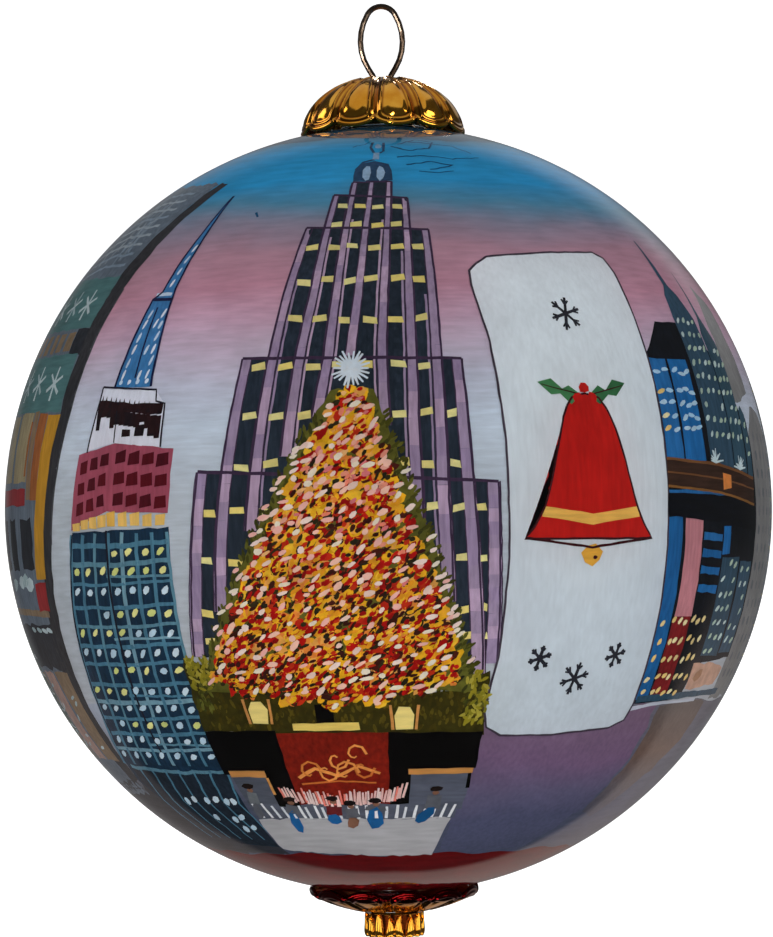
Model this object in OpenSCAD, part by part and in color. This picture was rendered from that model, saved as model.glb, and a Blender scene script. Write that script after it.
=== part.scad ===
// Souvenir Christmas ornament: a blown glass ball painted on the inside, with a
// stamped top cap on a sprung wire hanger and a stamped cap with a fluted finial below.
// Millimetres. The origin is the point inside the top of the wire loop where a hook
// bears, +Z up. The loop lies in the XZ plane and the ball hangs below it.

/* [Ball] */
// Outside diameter of the glass ball
ball_d = 80; // [70:1:100]
// Thickness of the glass
glass_wall = 1.0; // [0.8:0.1:1.4]
// Outside diameter of the open neck under the top cap
neck_d = 11; // [10:0.5:11.5]
// Height of the neck's lip above the top of the ball
neck_rise = 2.2; // [1.5:0.1:2.4]
// Diameter of the solid nib where the glass was drawn off
nib_d = 4.6; // [4:0.1:5]
// Length of the nib below the ball
nib_drop = 3.4; // [3:0.1:3.6]

/* [Paint] */
// Thickness of the painted picture, brushed on the inside of the glass
picture_coat = 0.15; // [0.1:0.01:0.2]
// Thickness of the pale coat that backs and seals the picture
backing_coat = 0.15; // [0.1:0.01:0.2]

/* [Top cap] */
// Diameter of the top cap's rim
top_cap_d = 17.2; // [16:0.1:19]
// Height of the top cap from rim to crown
top_cap_h = 6.3; // [5.5:0.1:7]
// Thickness of the stamped metal, in both caps and the finial
sheet = 0.35; // [0.3:0.05:0.45]
// Petals stamped round each cap
petals = 12; // [8:1:16]
// Diameter of the two wire holes in the crown
wire_hole_d = 1.25; // [1.15:0.05:1.4]

/* [Hanger] */
// Diameter of the spring wire
wire_d = 0.6; // [0.5:0.05:0.7]
// Height of the loop's middle line above the crown
loop_rise = 7.6; // [7:0.1:9]
// Width of the loop between its middle lines
loop_w = 4.44; // [4:0.02:5]
// Depth of the loop's widest point below its top, on the middle line
loop_belly = 3.75; // [3.5:0.05:4]
// Distance between the wires where they pass the crown
waist_w = 1.8; // [1.6:0.1:2]

/* [Bottom cap] */
// Diameter of the bottom cap's rim
bottom_cap_d = 17.6; // [16:0.1:19]
// Depth of the bottom cap below its rim
bottom_cap_h = 3.1; // [2.8:0.1:3.4]
// Radius of the bottom cap's shallow dome
dish_r = 19; // [17:0.5:22]

/* [Finial] */
// Diameter of the finial over its flutes
finial_d = 6.6; // [6.5:0.1:7]
// Height of the finial
finial_h = 2.5; // [2.3:0.1:2.8]
// Flutes round the finial
flutes = 16; // [12:1:20]

/* [Hidden] */
$fn = 96;

ball_r = ball_d / 2;
inner_r = ball_r - glass_wall;
neck_bore_r = neck_d / 2 - glass_wall;
running_gap = 0.1;  // between the top cap and the ball that turns under it
seat_gap = 0.05;    // between pieces that only touch
petal_turn = -5.5;  // degrees from +X to the first notch between two petals

// Height of the ball's surface above its centre, at a distance from its axis.
function ball_rise(r) = sqrt(pow(ball_r, 2) - pow(r, 2));

// Heights are above the ball's centre, in the ball's own frame. Each cap stands on the inner
// edge of its rim.
top_rim_z = ball_rise(top_cap_d / 2 - sheet) + running_gap;
crown_z = top_rim_z + top_cap_h;
bottom_rim_z = -ball_rise(bottom_cap_d / 2 - sheet) - seat_gap;
dish_z = bottom_rim_z - bottom_cap_h;
loop_top_z = crown_z + loop_rise;
hang_z = loop_top_z - wire_d / 2;

// Carries a piece from the ball's own frame, centred on the ball, to the hook's bearing point.
module below_hook() {
    translate([0, 0, -hang_z]) children();
}

// Wire in the XZ plane is a chain of steps: [0, length] where it is straight, and
// [bend radius, degrees] where it is bent, towards +X for a positive radius and towards -X
// for a negative one. A place on it is [across, up, degrees turned from straight down to +X].
function step_end(start, step) =
    let (bent = step[0] != 0,
         side = bent ? step[0] * (1 - cos(step[1])) : 0,
         down = bent ? abs(step[0]) * sin(step[1]) : step[1],
         turn = start[2])
    [start[0] + side * cos(turn) + down * sin(turn),
     start[1] + side * sin(turn) - down * cos(turn),
     turn + sign(step[0]) * step[1]];

// Places along a chain of steps, one at each end and one at least every 12 degrees of bend.
function places(start, steps, i = 0) =
    i == len(steps) ? [start] :
    let (step = steps[i],
         parts = step[0] == 0 ? 1 : ceil(step[1] / 12))
    concat([for (k = [0 : parts - 1]) step_end(start, [step[0], step[1] * k / parts])],
           places(step_end(start, step), steps, i + 1));

// The same places seen in a mirror at X = 0 and taken in the opposite order.
function mirrored(list) =
    [for (i = [len(list) - 1 : -1 : 0]) [-list[i][0], list[i][1], 180 - list[i][2]]];

// A round tube through places, with each ring square to the wire.
module tube(places, r, sides = 12) {
    last = len(places) - 1;
    rings = [for (place = places, k = [0 : sides - 1])
        let (off = r * cos(360 * k / sides))
        [place[0] + off * cos(place[2]), r * sin(360 * k / sides), place[1] + off * sin(place[2])]];
    walls = [for (i = [0 : last - 1], k = [0 : sides - 1])
        let (a = i * sides + k, b = i * sides + (k + 1) % sides)
        [a, b, b + sides, a + sides]];
    start_cap = [for (k = [sides - 1 : -1 : 0]) k];
    end_cap = [for (k = [0 : sides - 1]) last * sides + k];
    polyhedron(rings, concat([start_cap], walls, [end_cap]), convexity = 10);
}

// Blown glass ball with an open neck above and a solid nib below.
module glass_ball() {
    color([0.85, 0.9, 0.92, 0.4])
    below_hook()
    difference() {
        union() {
            sphere(ball_r);
            cylinder(h = ball_r + neck_rise, d = neck_d);
            translate([0, 0, -ball_r - nib_drop])
                cylinder(h = nib_drop + glass_wall, d = nib_d);
        }
        sphere(inner_r);
        cylinder(h = ball_r + neck_rise + 1, r = neck_bore_r);
    }
}

// A coat of paint lining the inside of the ball, open at the neck.
module coat(outer_r, thickness) {
    difference() {
        sphere(outer_r);
        sphere(outer_r - thickness);
        cylinder(h = ball_r + 1, r = neck_bore_r);
    }
}

// The painted picture, seen through the glass.
module paint_picture() {
    color([0.35, 0.5, 0.65])
    below_hook()
    coat(inner_r, picture_coat);
}

// The pale coat behind the picture.
module paint_backing() {
    color([0.86, 0.86, 0.82])
    below_hook()
    coat(inner_r - picture_coat, backing_coat);
}

// Half-ellipse dome outline from the rim in to the axis, as points.
function dome(r, h, steps = 14) =
    [for (i = [0 : steps]) let (t = 90 * i / steps) [r * cos(t), h * sin(t)]];

function reversed(list) = [for (i = [len(list) - 1 : -1 : 0]) list[i]];

// Round notches between the petals, cut in from the rim.
module petal_notches(rim_r, notch_r, drop) {
    for (k = [0 : petals - 1])
        rotate([0, 0, petal_turn + k * 360 / petals])
            translate([rim_r - 2.2, 0, drop])
                rotate([0, 90, 0])
                    cylinder(h = 4, r = notch_r);
}

// Stamped metal dome with a scalloped rim and two holes for the wire.
module top_cap() {
    rim_r = top_cap_d / 2;
    outside = dome(rim_r, top_cap_h);
    inside = dome(rim_r - sheet, top_cap_h - sheet);
    color([0.83, 0.62, 0.2])
    below_hook()
    translate([0, 0, top_rim_z])
    difference() {
        rotate_extrude() polygon(concat(outside, reversed(inside)));
        petal_notches(rim_r, 0.9, -0.35);
        for (side = [-1, 1])
            translate([side * waist_w / 2, 0, top_cap_h - 2])
                cylinder(h = 4, d = wire_hole_d);
    }
}

// The loop's top is one arc through top_bend to each side, and a wider arc carries each side
// on to the widest point. These radii give the loop its width and its depth there.
top_bend = 60;
top_r = (loop_w / 2 * cos(top_bend) - loop_belly * (1 - sin(top_bend)))
    / (sin(top_bend) * cos(top_bend) - (1 - sin(top_bend)) * (1 - cos(top_bend)));
side_r = (loop_belly - top_r * (1 - cos(top_bend))) / cos(top_bend);

// Below its widest point each side is an S: a wide bend inwards, a short straight, and a
// tight bend back to straight down at the crown.
waist_bend_r = 0.6;
waist_straight = 0.85;
s_in = (loop_w - waist_w) / 2;
s_down = loop_rise - loop_belly;
s_radii = (pow(s_down, 2) + pow(s_in, 2) - pow(waist_straight, 2)) / (2 * s_in);
s_bend = atan2(s_radii, waist_straight) - atan2(s_radii - s_in, s_down);

// Below the crown the legs spread, first inside the neck and then wider in the ball.
leg_splay = 18;
leg_in_neck = 6.2;
leg_knee = [3, 12];
leg_in_ball = 5;
leg_tip = [-1.1, 60];

// Spring wire: a loop for the hook, a waist through the cap and two legs in the neck.
module hanger_wire() {
    right = places([0, loop_top_z, 90],
        [[-top_r, top_bend], [-side_r, 90 - top_bend],
         [-(s_radii - waist_bend_r), s_bend], [0, waist_straight],
         [waist_bend_r, s_bend + leg_splay],
         [0, leg_in_neck], leg_knee, [0, leg_in_ball], leg_tip]);
    left = mirrored([for (i = [1 : len(right) - 1]) right[i]]);
    color([0.55, 0.5, 0.46])
    below_hook()
    tube(concat(left, right), wire_d / 2);
}

// Height of the bottom cap's dish above its lowest point, at a radius.
function dish_rise(r) = dish_r - sqrt(pow(dish_r, 2) - pow(r, 2));

// Shallow stamped dish with a scalloped, turned-up rim, slipped over the nib.
module bottom_cap() {
    rim_r = bottom_cap_d / 2;
    steps = 8;
    outside = [for (i = [0 : steps]) let (r = rim_r * i / steps) [r, dish_rise(r)]];
    inside = [for (i = [0 : steps]) let (r = (rim_r - sheet) * i / steps) [r, dish_rise(r) + sheet]];
    lip = [[rim_r, bottom_cap_h], [rim_r - sheet, bottom_cap_h]];
    color([0.83, 0.62, 0.2])
    below_hook()
    translate([0, 0, dish_z])
    difference() {
        rotate_extrude() polygon(concat(outside, lip, reversed(inside)));
        translate([0, 0, -1])
            cylinder(h = bottom_cap_h + 1, d = nib_d + 2 * seat_gap);
        petal_notches(rim_r, 0.8, bottom_cap_h + 0.45);
    }
}

// The finial is a cup with a rounded foot and half-round flutes, and the inner edge of its
// mouth meets the dish.
flute_r = PI * finial_d / flutes / 4 + 0.1;
cup_r = finial_d / 2 - 0.6 * flute_r;
foot_round = 0.8;
finial_top_z = dish_z + dish_rise(cup_r - sheet) - seat_gap;

// Solid of revolution with a flat, rounded foot.
module rounded_foot(r, h, foot) {
    rotate_extrude() {
        square([r - foot, h]);
        translate([0, foot]) square([r, h - foot]);
        intersection() {
            translate([r - foot, foot]) circle(foot);
            square([r, h]);
        }
    }
}

// Fluted metal cup pushed over the nib.
module finial() {
    color([0.85, 0.64, 0.2])
    below_hook()
    translate([0, 0, finial_top_z - finial_h])
    difference() {
        union() {
            rounded_foot(cup_r, finial_h, foot_round);
            for (k = [0 : flutes - 1])
                rotate([0, 0, k * 360 / flutes])
                    translate([finial_d / 2 - flute_r, 0, foot_round]) {
                        cylinder(h = finial_h - foot_round, r = flute_r);
                        sphere(flute_r);
                    }
        }
        translate([0, 0, sheet])
            rounded_foot(cup_r - sheet, finial_h, foot_round - sheet);
    }
}

// Cement that fills the finial round and under the nib.
module finial_cement() {
    fill_h = finial_h - sheet - 0.3;
    nib_end_z = -ball_r - nib_drop;
    color([0.8, 0.78, 0.7])
    below_hook()
    difference() {
        translate([0, 0, finial_top_z - finial_h + sheet])
            rounded_foot(cup_r - sheet, fill_h, foot_round - sheet);
        translate([0, 0, nib_end_z])
            cylinder(h = nib_drop, d = nib_d);
    }
}

glass_ball();
paint_picture();
paint_backing();
top_cap();
hanger_wire();
bottom_cap();
finial();
finial_cement();
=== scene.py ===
"""Looks of a glass Christmas ornament painted on the inside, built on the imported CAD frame.

The picture is laid out in degrees round the ball: lon 0 faces -Y and grows towards +X, and
lat is the height above the ball's equator. Every painted shape is a thin closed film on the
inside of the glass. Shapes of one finish make one piece.
"""

import math
import random

import bmesh
import bpy
from mathutils import Matrix, Vector


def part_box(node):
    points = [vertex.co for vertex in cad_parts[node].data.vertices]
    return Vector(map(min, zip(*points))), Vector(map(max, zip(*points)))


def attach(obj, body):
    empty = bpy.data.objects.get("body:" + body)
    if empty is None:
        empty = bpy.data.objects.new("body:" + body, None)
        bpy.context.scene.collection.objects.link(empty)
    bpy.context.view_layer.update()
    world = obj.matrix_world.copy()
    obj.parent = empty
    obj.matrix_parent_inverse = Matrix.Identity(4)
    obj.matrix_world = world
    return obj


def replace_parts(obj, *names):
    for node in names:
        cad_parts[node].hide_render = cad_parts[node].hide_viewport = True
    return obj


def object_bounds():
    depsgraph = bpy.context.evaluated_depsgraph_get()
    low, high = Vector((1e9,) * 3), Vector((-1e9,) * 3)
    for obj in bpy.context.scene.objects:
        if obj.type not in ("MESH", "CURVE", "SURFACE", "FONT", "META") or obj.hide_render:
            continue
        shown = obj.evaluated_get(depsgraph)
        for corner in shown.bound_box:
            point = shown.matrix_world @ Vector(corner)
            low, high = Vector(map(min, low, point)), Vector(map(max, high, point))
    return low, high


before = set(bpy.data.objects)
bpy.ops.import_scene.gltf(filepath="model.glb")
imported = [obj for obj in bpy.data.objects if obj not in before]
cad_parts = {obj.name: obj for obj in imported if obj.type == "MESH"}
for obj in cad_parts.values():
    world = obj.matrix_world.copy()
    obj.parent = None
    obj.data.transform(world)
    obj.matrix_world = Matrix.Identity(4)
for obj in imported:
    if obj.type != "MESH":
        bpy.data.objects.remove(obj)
cad_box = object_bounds()

MM = 0.001
rng = random.Random(2024)
uniform = rng.uniform

paint_low, paint_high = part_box("paint_picture")
glass_low, glass_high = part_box("glass_ball")
PAINT_R = (paint_high[0] - paint_low[0]) / 2
GLASS_R = (glass_high[0] - glass_low[0]) / 2
CENTRE_Z = paint_low[2] + PAINT_R

# ---------------------------------------------------------------- camera, lights and stage

CAMERA_DISTANCE = 8 * GLASS_R
CAMERA_ELEVATION = math.radians(-1.5)
CAMERA_ROLL = math.radians(-0.85)


def add_object(name, data):
    """An object in the scene that shows the data."""
    made = bpy.data.objects.new(name, data)
    bpy.context.scene.collection.objects.link(made)
    return made


def add_mesh(name, verts, faces):
    """A smooth-shaded mesh object."""
    mesh = bpy.data.meshes.new(name)
    mesh.from_pydata(verts, [], faces)
    for polygon in mesh.polygons:
        polygon.use_smooth = True
    return add_object(name, mesh)


def make_camera():
    """A long lens level with the ball, with the ball a little below the middle of the frame."""
    data = bpy.data.cameras.new("camera")
    data.sensor_width, data.lens = 36, 117
    data.shift_x, data.shift_y = -0.002, 0.0442
    data.clip_start, data.clip_end = 0.01, 20
    camera = add_object("camera", data)
    camera.location = (0, -CAMERA_DISTANCE * math.cos(CAMERA_ELEVATION),
        CENTRE_Z + CAMERA_DISTANCE * math.sin(CAMERA_ELEVATION))
    aim = Matrix.Rotation(math.pi / 2 - CAMERA_ELEVATION, 3, "X")
    camera.rotation_euler = (aim @ Matrix.Rotation(CAMERA_ROLL, 3, "Z")).to_euler()
    bpy.context.scene.camera = camera


def area_light(name, place, size, watts, colour=(1, 1, 1), seen=False):
    """A soft square light aimed at the ball, and seen in reflections or not."""
    data = bpy.data.lights.new(name, "AREA")
    data.shape, data.size, data.energy, data.color = "SQUARE", size, watts, colour
    light = add_object(name, data)
    light.location = place
    aim = Vector((0, 0, CENTRE_Z)) - light.location
    light.rotation_euler = aim.to_track_quat("-Z", "Y").to_euler()
    light.visible_glossy = light.visible_transmission = seen
    return light


def make_stage():
    """A pale floor that curves up into a wall on the far side, and soft light from all round."""
    floor_z = cad_box[0][2] - 0.05
    half, back, bend = 1.6, 0.75, 0.35
    profile = [(-2.2, floor_z), (back - bend, floor_z)]
    for i in range(1, 13):
        turn = math.pi / 2 * i / 12
        profile.append((back - bend + bend * math.sin(turn), floor_z + bend * (1 - math.cos(turn))))
    profile.append((back, floor_z + 2.2))
    sweep = add_mesh("sweep", [(x, y, z) for y, z in profile for x in (-half, half)],
        [(2 * i, 2 * i + 1, 2 * i + 3, 2 * i + 2) for i in range(len(profile) - 1)])
    material, graph = new_material("stage_white")
    graph.shade({"Base Color": (0.86, 0.86, 0.86, 1), "Roughness": 0.9, "Emission Color": (1, 1, 1, 1),
        "Emission Strength": 0.7})
    sweep.data.materials.append(material)
    sweep.visible_glossy = sweep.visible_shadow = sweep.visible_diffuse = False
    area_light("key", (-0.12, -0.75, 0.34), 0.5, 3.5, (1, 0.98, 0.95))
    area_light("fill", (0.45, -0.7, 0.2), 0.6, 2.7, (0.95, 0.98, 1))
    area_light("top", (0, 0.1, 0.75), 0.8, 1.5)
    area_light("back_left", (-0.35, 0.75, 0.25), 0.5, 2.0)
    area_light("back_right", (0.35, 0.75, 0.25), 0.5, 2.0)
    bpy.context.scene.view_settings.view_transform = "Standard"


# ---------------------------------------------------------------- node graphs

MIX_A, MIX_B, MIX_RESULT = 6, 7, 2     # a Mix node's two colour inputs and its colour output


class Graph:
    """The nodes of one material or of the world."""

    def __init__(self, tree):
        self.nodes, self.links = tree.nodes, tree.links

    def put(self, node, inputs):
        """Gives a node's inputs their values, each a number, a colour or another node's output."""
        for name, value in inputs.items():
            if isinstance(value, bpy.types.NodeSocket):
                self.links.new(value, node.inputs[name])
            else:
                node.inputs[name].default_value = value

    def shade(self, inputs):
        """Gives the Principled shader its inputs."""
        self.put(self.nodes["Principled BSDF"], inputs)

    def add(self, kind, inputs, output=0, **settings):
        """The output of a new node."""
        node = self.nodes.new("ShaderNode" + kind)
        for name, value in settings.items():
            setattr(node, name, value)
        self.put(node, inputs)
        return node.outputs[output]

    def math(self, operation, *values):
        return self.add("Math", dict(enumerate(values)), operation=operation)

    def share(self, value, low, high):
        """0 at low, 1 at high, and smooth between."""
        return self.add("MapRange", {"From Min": low, "From Max": high, "Value": value},
            interpolation_type="SMOOTHSTEP")

    def spread(self, value, low, high):
        """A value from 0 to 1 spread over low to high."""
        return self.add("MapRange", {"To Min": low, "To Max": high, "Value": value})

    def bump(self, height, strength, distance):
        return self.add("Bump", {"Height": height, "Strength": strength, "Distance": distance})

    def mix(self, kind, factor, a, b):
        """Two colours mixed."""
        return self.add("Mix", {"Factor": factor, MIX_A: a, MIX_B: b}, MIX_RESULT, data_type="RGBA",
            blend_type=kind)

    def noise(self, stretch, detail):
        """Noise in the object's own coordinates, with stretch cells to the metre along X, Y and Z."""
        place = self.add("TexCoord", {}, "Object")
        scaled = self.add("Mapping", {"Scale": stretch, "Vector": place})
        return self.add("TexNoise", {"Scale": 1, "Detail": detail, "Vector": scaled}, "Fac")

    def ramp(self, value, stops, mode="LINEAR"):
        """A colour ramp over value, with stops of (place, linear colour)."""
        node = self.nodes.new("ShaderNodeValToRGB")
        node.color_ramp.interpolation = mode
        steps = node.color_ramp.elements
        while len(steps) < len(stops):
            steps.new(0.5)
        for step, (place, colour) in zip(steps, stops):
            step.position, step.color = place, colour
        self.put(node, {"Fac": value})
        return node.outputs["Color"]

    def greys(self, value, low_place, low, high_place, high):
        """A ramp between two greys."""
        return self.ramp(value, [(low_place, (low, low, low, 1)), (high_place, (high, high, high, 1))])


def new_material(name):
    """A material with a Principled shader, and its graph."""
    material = bpy.data.materials.new(name)
    material.use_nodes = True
    return material, Graph(material.node_tree)


# Brightness of the room by direction, from straight ahead of the ball (-Y) to straight behind.
ROOM = [(0.0, 0.05), (0.4, 0.06), (0.6, 0.07), (0.8, 0.04), (0.94, 0.045), (1.0, 0.17)]
TABLE, WINDOW, BLACK = (0.4, 0.33, 0.3, 1), (0.38, 0.4, 0.41, 1), (0, 0, 0, 1)


def make_room():
    """A dim room, darker below, with a lit table behind and below the ball and a window behind and
    above it."""
    world = bpy.data.worlds.new("world")
    world.use_nodes = True
    graph = Graph(world.node_tree)
    place = graph.add("TexCoord", {}, "Generated")
    x, y, z = (graph.add("SeparateXYZ", {"Vector": place}, axis) for axis in "XYZ")

    def times(a, b):
        return graph.math("MULTIPLY", a, b)

    share = graph.share
    aside = times(graph.math("ABSOLUTE", x, 0), 0.28)
    table = times(share(graph.math("SUBTRACT", z, aside), -0.72, -0.66), share(y, 0.35, 0.55))
    table = times(table, graph.math("SUBTRACT", 1, share(z, -0.55, -0.02)))
    table = times(table, graph.math("ADD", times(share(x, -0.3, 0), 0.6), 0.4))
    window = times(times(share(z, 0.16, 0.4), share(y, 0.66, 0.86)), share(x, -0.5, 0.25))
    floor = times(share(times(z, -1), 0.35, 0.85), 0.8)
    shade = graph.ramp(graph.math("ADD", times(y, 0.5), 0.5), [(where,
        (value, value * 1.01, value * 1.03, 1)) for where, value in ROOM])
    for factor, colour in ((floor, BLACK), (table, TABLE), (window, WINDOW)):
        shade = graph.mix("MIX", factor, shade, colour)
    graph.put(graph.nodes["Background"], {"Color": shade})
    bpy.context.scene.world = world


# ---------------------------------------------------------------- materials

# Paint colours are written as they look under the studio's light, in 0 to 255, and the paint
# itself is this many times lighter.
PAINT_GAIN = 1.8
STREAKS = {"up": (2600, 2600, 260), "round": (300, 300, 2600), "dab": (1300, 1300, 1300)}


def linear(rgb, gain=1.0):
    """A colour given in 0 to 255 as a linear colour for a shader, kept under 0.9 at its true hue."""
    out = []
    for value in rgb:
        c = value / 255
        out.append(gain * (c / 12.92 if c <= 0.04045 else ((c + 0.055) / 1.055) ** 2.4))
    strongest = max(out + [0.9])
    return (*[c * 0.9 / strongest for c in out], 1)


def paint(name, colours, streak, vary, graded=False):
    """Acrylic brushed on the glass. One colour is toned by the brush, and several are dealt out
    mark by mark. Graded colours are (lat, colour) stops that change the colour up the ball."""
    material, graph = new_material(name + "_paint")
    island = graph.add("NewGeometry", {}, "Random Per Island")
    if graded:
        z = graph.add("SeparateXYZ", {"Vector": graph.add("TexCoord", {}, "Object")}, "Z")
        wander = graph.math("MULTIPLY_ADD", graph.noise((55, 55, 110), 4), 5 * MM, z)
        height = graph.add("MapRange", {"From Min": CENTRE_Z - PAINT_R, "From Max": CENTRE_Z + PAINT_R,
            "Value": wander})
        base = graph.ramp(height, [((math.sin(math.radians(lat)) + 1) / 2 + 0.033,
            linear(rgb, PAINT_GAIN)) for lat, rgb in colours])
    elif len(colours) > 1:
        base = graph.ramp(island, [(i / len(colours), linear(rgb, PAINT_GAIN)) for i,
            rgb in enumerate(colours)], "CONSTANT")
    else:
        base = linear(colours[0], PAINT_GAIN)
    streaks = graph.noise(STREAKS[streak], 4)
    for tone in (graph.greys(streaks, 0.3, 1 - vary, 0.7, 1 + vary),
            graph.greys(graph.noise((260, 260, 260), 3), 0.3, 1 - vary * 0.8, 0.7, 1.06),
            graph.greys(island, 0, 1 - vary * 0.8, 1, 1.05)):
        base = graph.mix("MULTIPLY", 1.0, base, tone)
    graph.shade({"Base Color": base, "Roughness": graph.spread(streaks, 0.42, 0.68),
        "Normal": graph.bump(streaks, 0.25, 0.05 * MM), "Specular IOR Level": 0.05})
    return material


def clear_glass():
    """Clear blown glass that lets lamplight straight through to the paint."""
    material, graph = new_material("clear_glass")
    graph.shade({"Base Color": (0.985, 0.995, 1, 1), "Transmission Weight": 1, "IOR": 1.5,
        "Normal": graph.bump(graph.noise((45, 45, 45), 1), 0.05, 0.15 * MM),
        "Roughness": graph.spread(graph.noise((120, 120, 120), 4), 0.0, 0.02)})
    surface = graph.add("MixShader", {"Fac": graph.add("LightPath", {}, "Is Shadow Ray"),
        1: graph.nodes["Principled BSDF"].outputs["BSDF"], 2: graph.add("BsdfTransparent", {})})
    graph.put(graph.nodes["Material Output"], {"Surface": surface})
    return material


def metal(name, bright, dull, rough, grain, bump_depth, tarnish_and_reflection=None):
    """Plated sheet or drawn wire: two tones, uneven gloss and a fine grain. The tarnish colour goes where the
    mesh's tone is 1: real tarnish in the stamping's lines and valleys, and on the dish's lip a painted
    reflection of the red band on the glass above it."""
    material, graph = new_material(name)
    colour = graph.ramp(graph.noise((420, 420, 420), 4), [(0.35, linear(dull)), (0.62, linear(bright))])
    if tarnish_and_reflection:
        tone = graph.add("Attribute", {}, "Fac", attribute_name="tone")
        # Where tone is 1: tarnish in lines and valleys, and a painted red reflection on the dish's lip.
        colour = graph.mix("MIX", tone, colour, linear(tarnish_and_reflection))
    graph.shade({"Metallic": 1, "Base Color": colour, "Roughness": graph.spread(graph.noise((900, 900, 900),
        5), *rough), "Normal": graph.bump(graph.noise(grain, 3), 0.3, bump_depth)})
    return material


# ---------------------------------------------------------------- painting on the ball

BASE_R = PAINT_R - 0.04 * MM   # radius of the first coat's face
COAT = 0.014 * MM              # each level of paint lies this much nearer the glass
FILM = 0.02 * MM               # thickness of one brush mark
CELL = 2.0                     # largest facet across a painted shape, in degrees
PICTURES = []                  # every piece of the painting, in the order of the painter's work


def on_ball(lon, lat, radius):
    lon, lat = math.radians(lon), math.radians(lat)
    return (radius * math.cos(lat) * math.sin(lon), -radius * math.cos(lat) * math.cos(lon),
        CENTRE_Z + radius * math.sin(lat))


def sides(outline):
    """The sides of a closed outline, each as its two ends."""
    return zip(outline, outline[1:] + outline[:1])


def polar(x, y, reach, turn):
    """The place at a distance from (x, y), with turn in radians from straight right."""
    return x + reach * math.cos(turn), y + reach * math.sin(turn)


def roughen(outline, wobble):
    """A closed outline with more points and a hand's unsteadiness."""
    out = []
    for (x0, y0), (x1, y1) in sides(outline):
        steps = max(1, round(math.hypot(x1 - x0, y1 - y0) / 1.8))
        for i in range(steps):
            t = i / steps
            out.append((x0 + (x1 - x0) * t + uniform(-wobble, wobble),
                y0 + (y1 - y0) * t + uniform(-wobble, wobble)))
    return out


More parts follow.
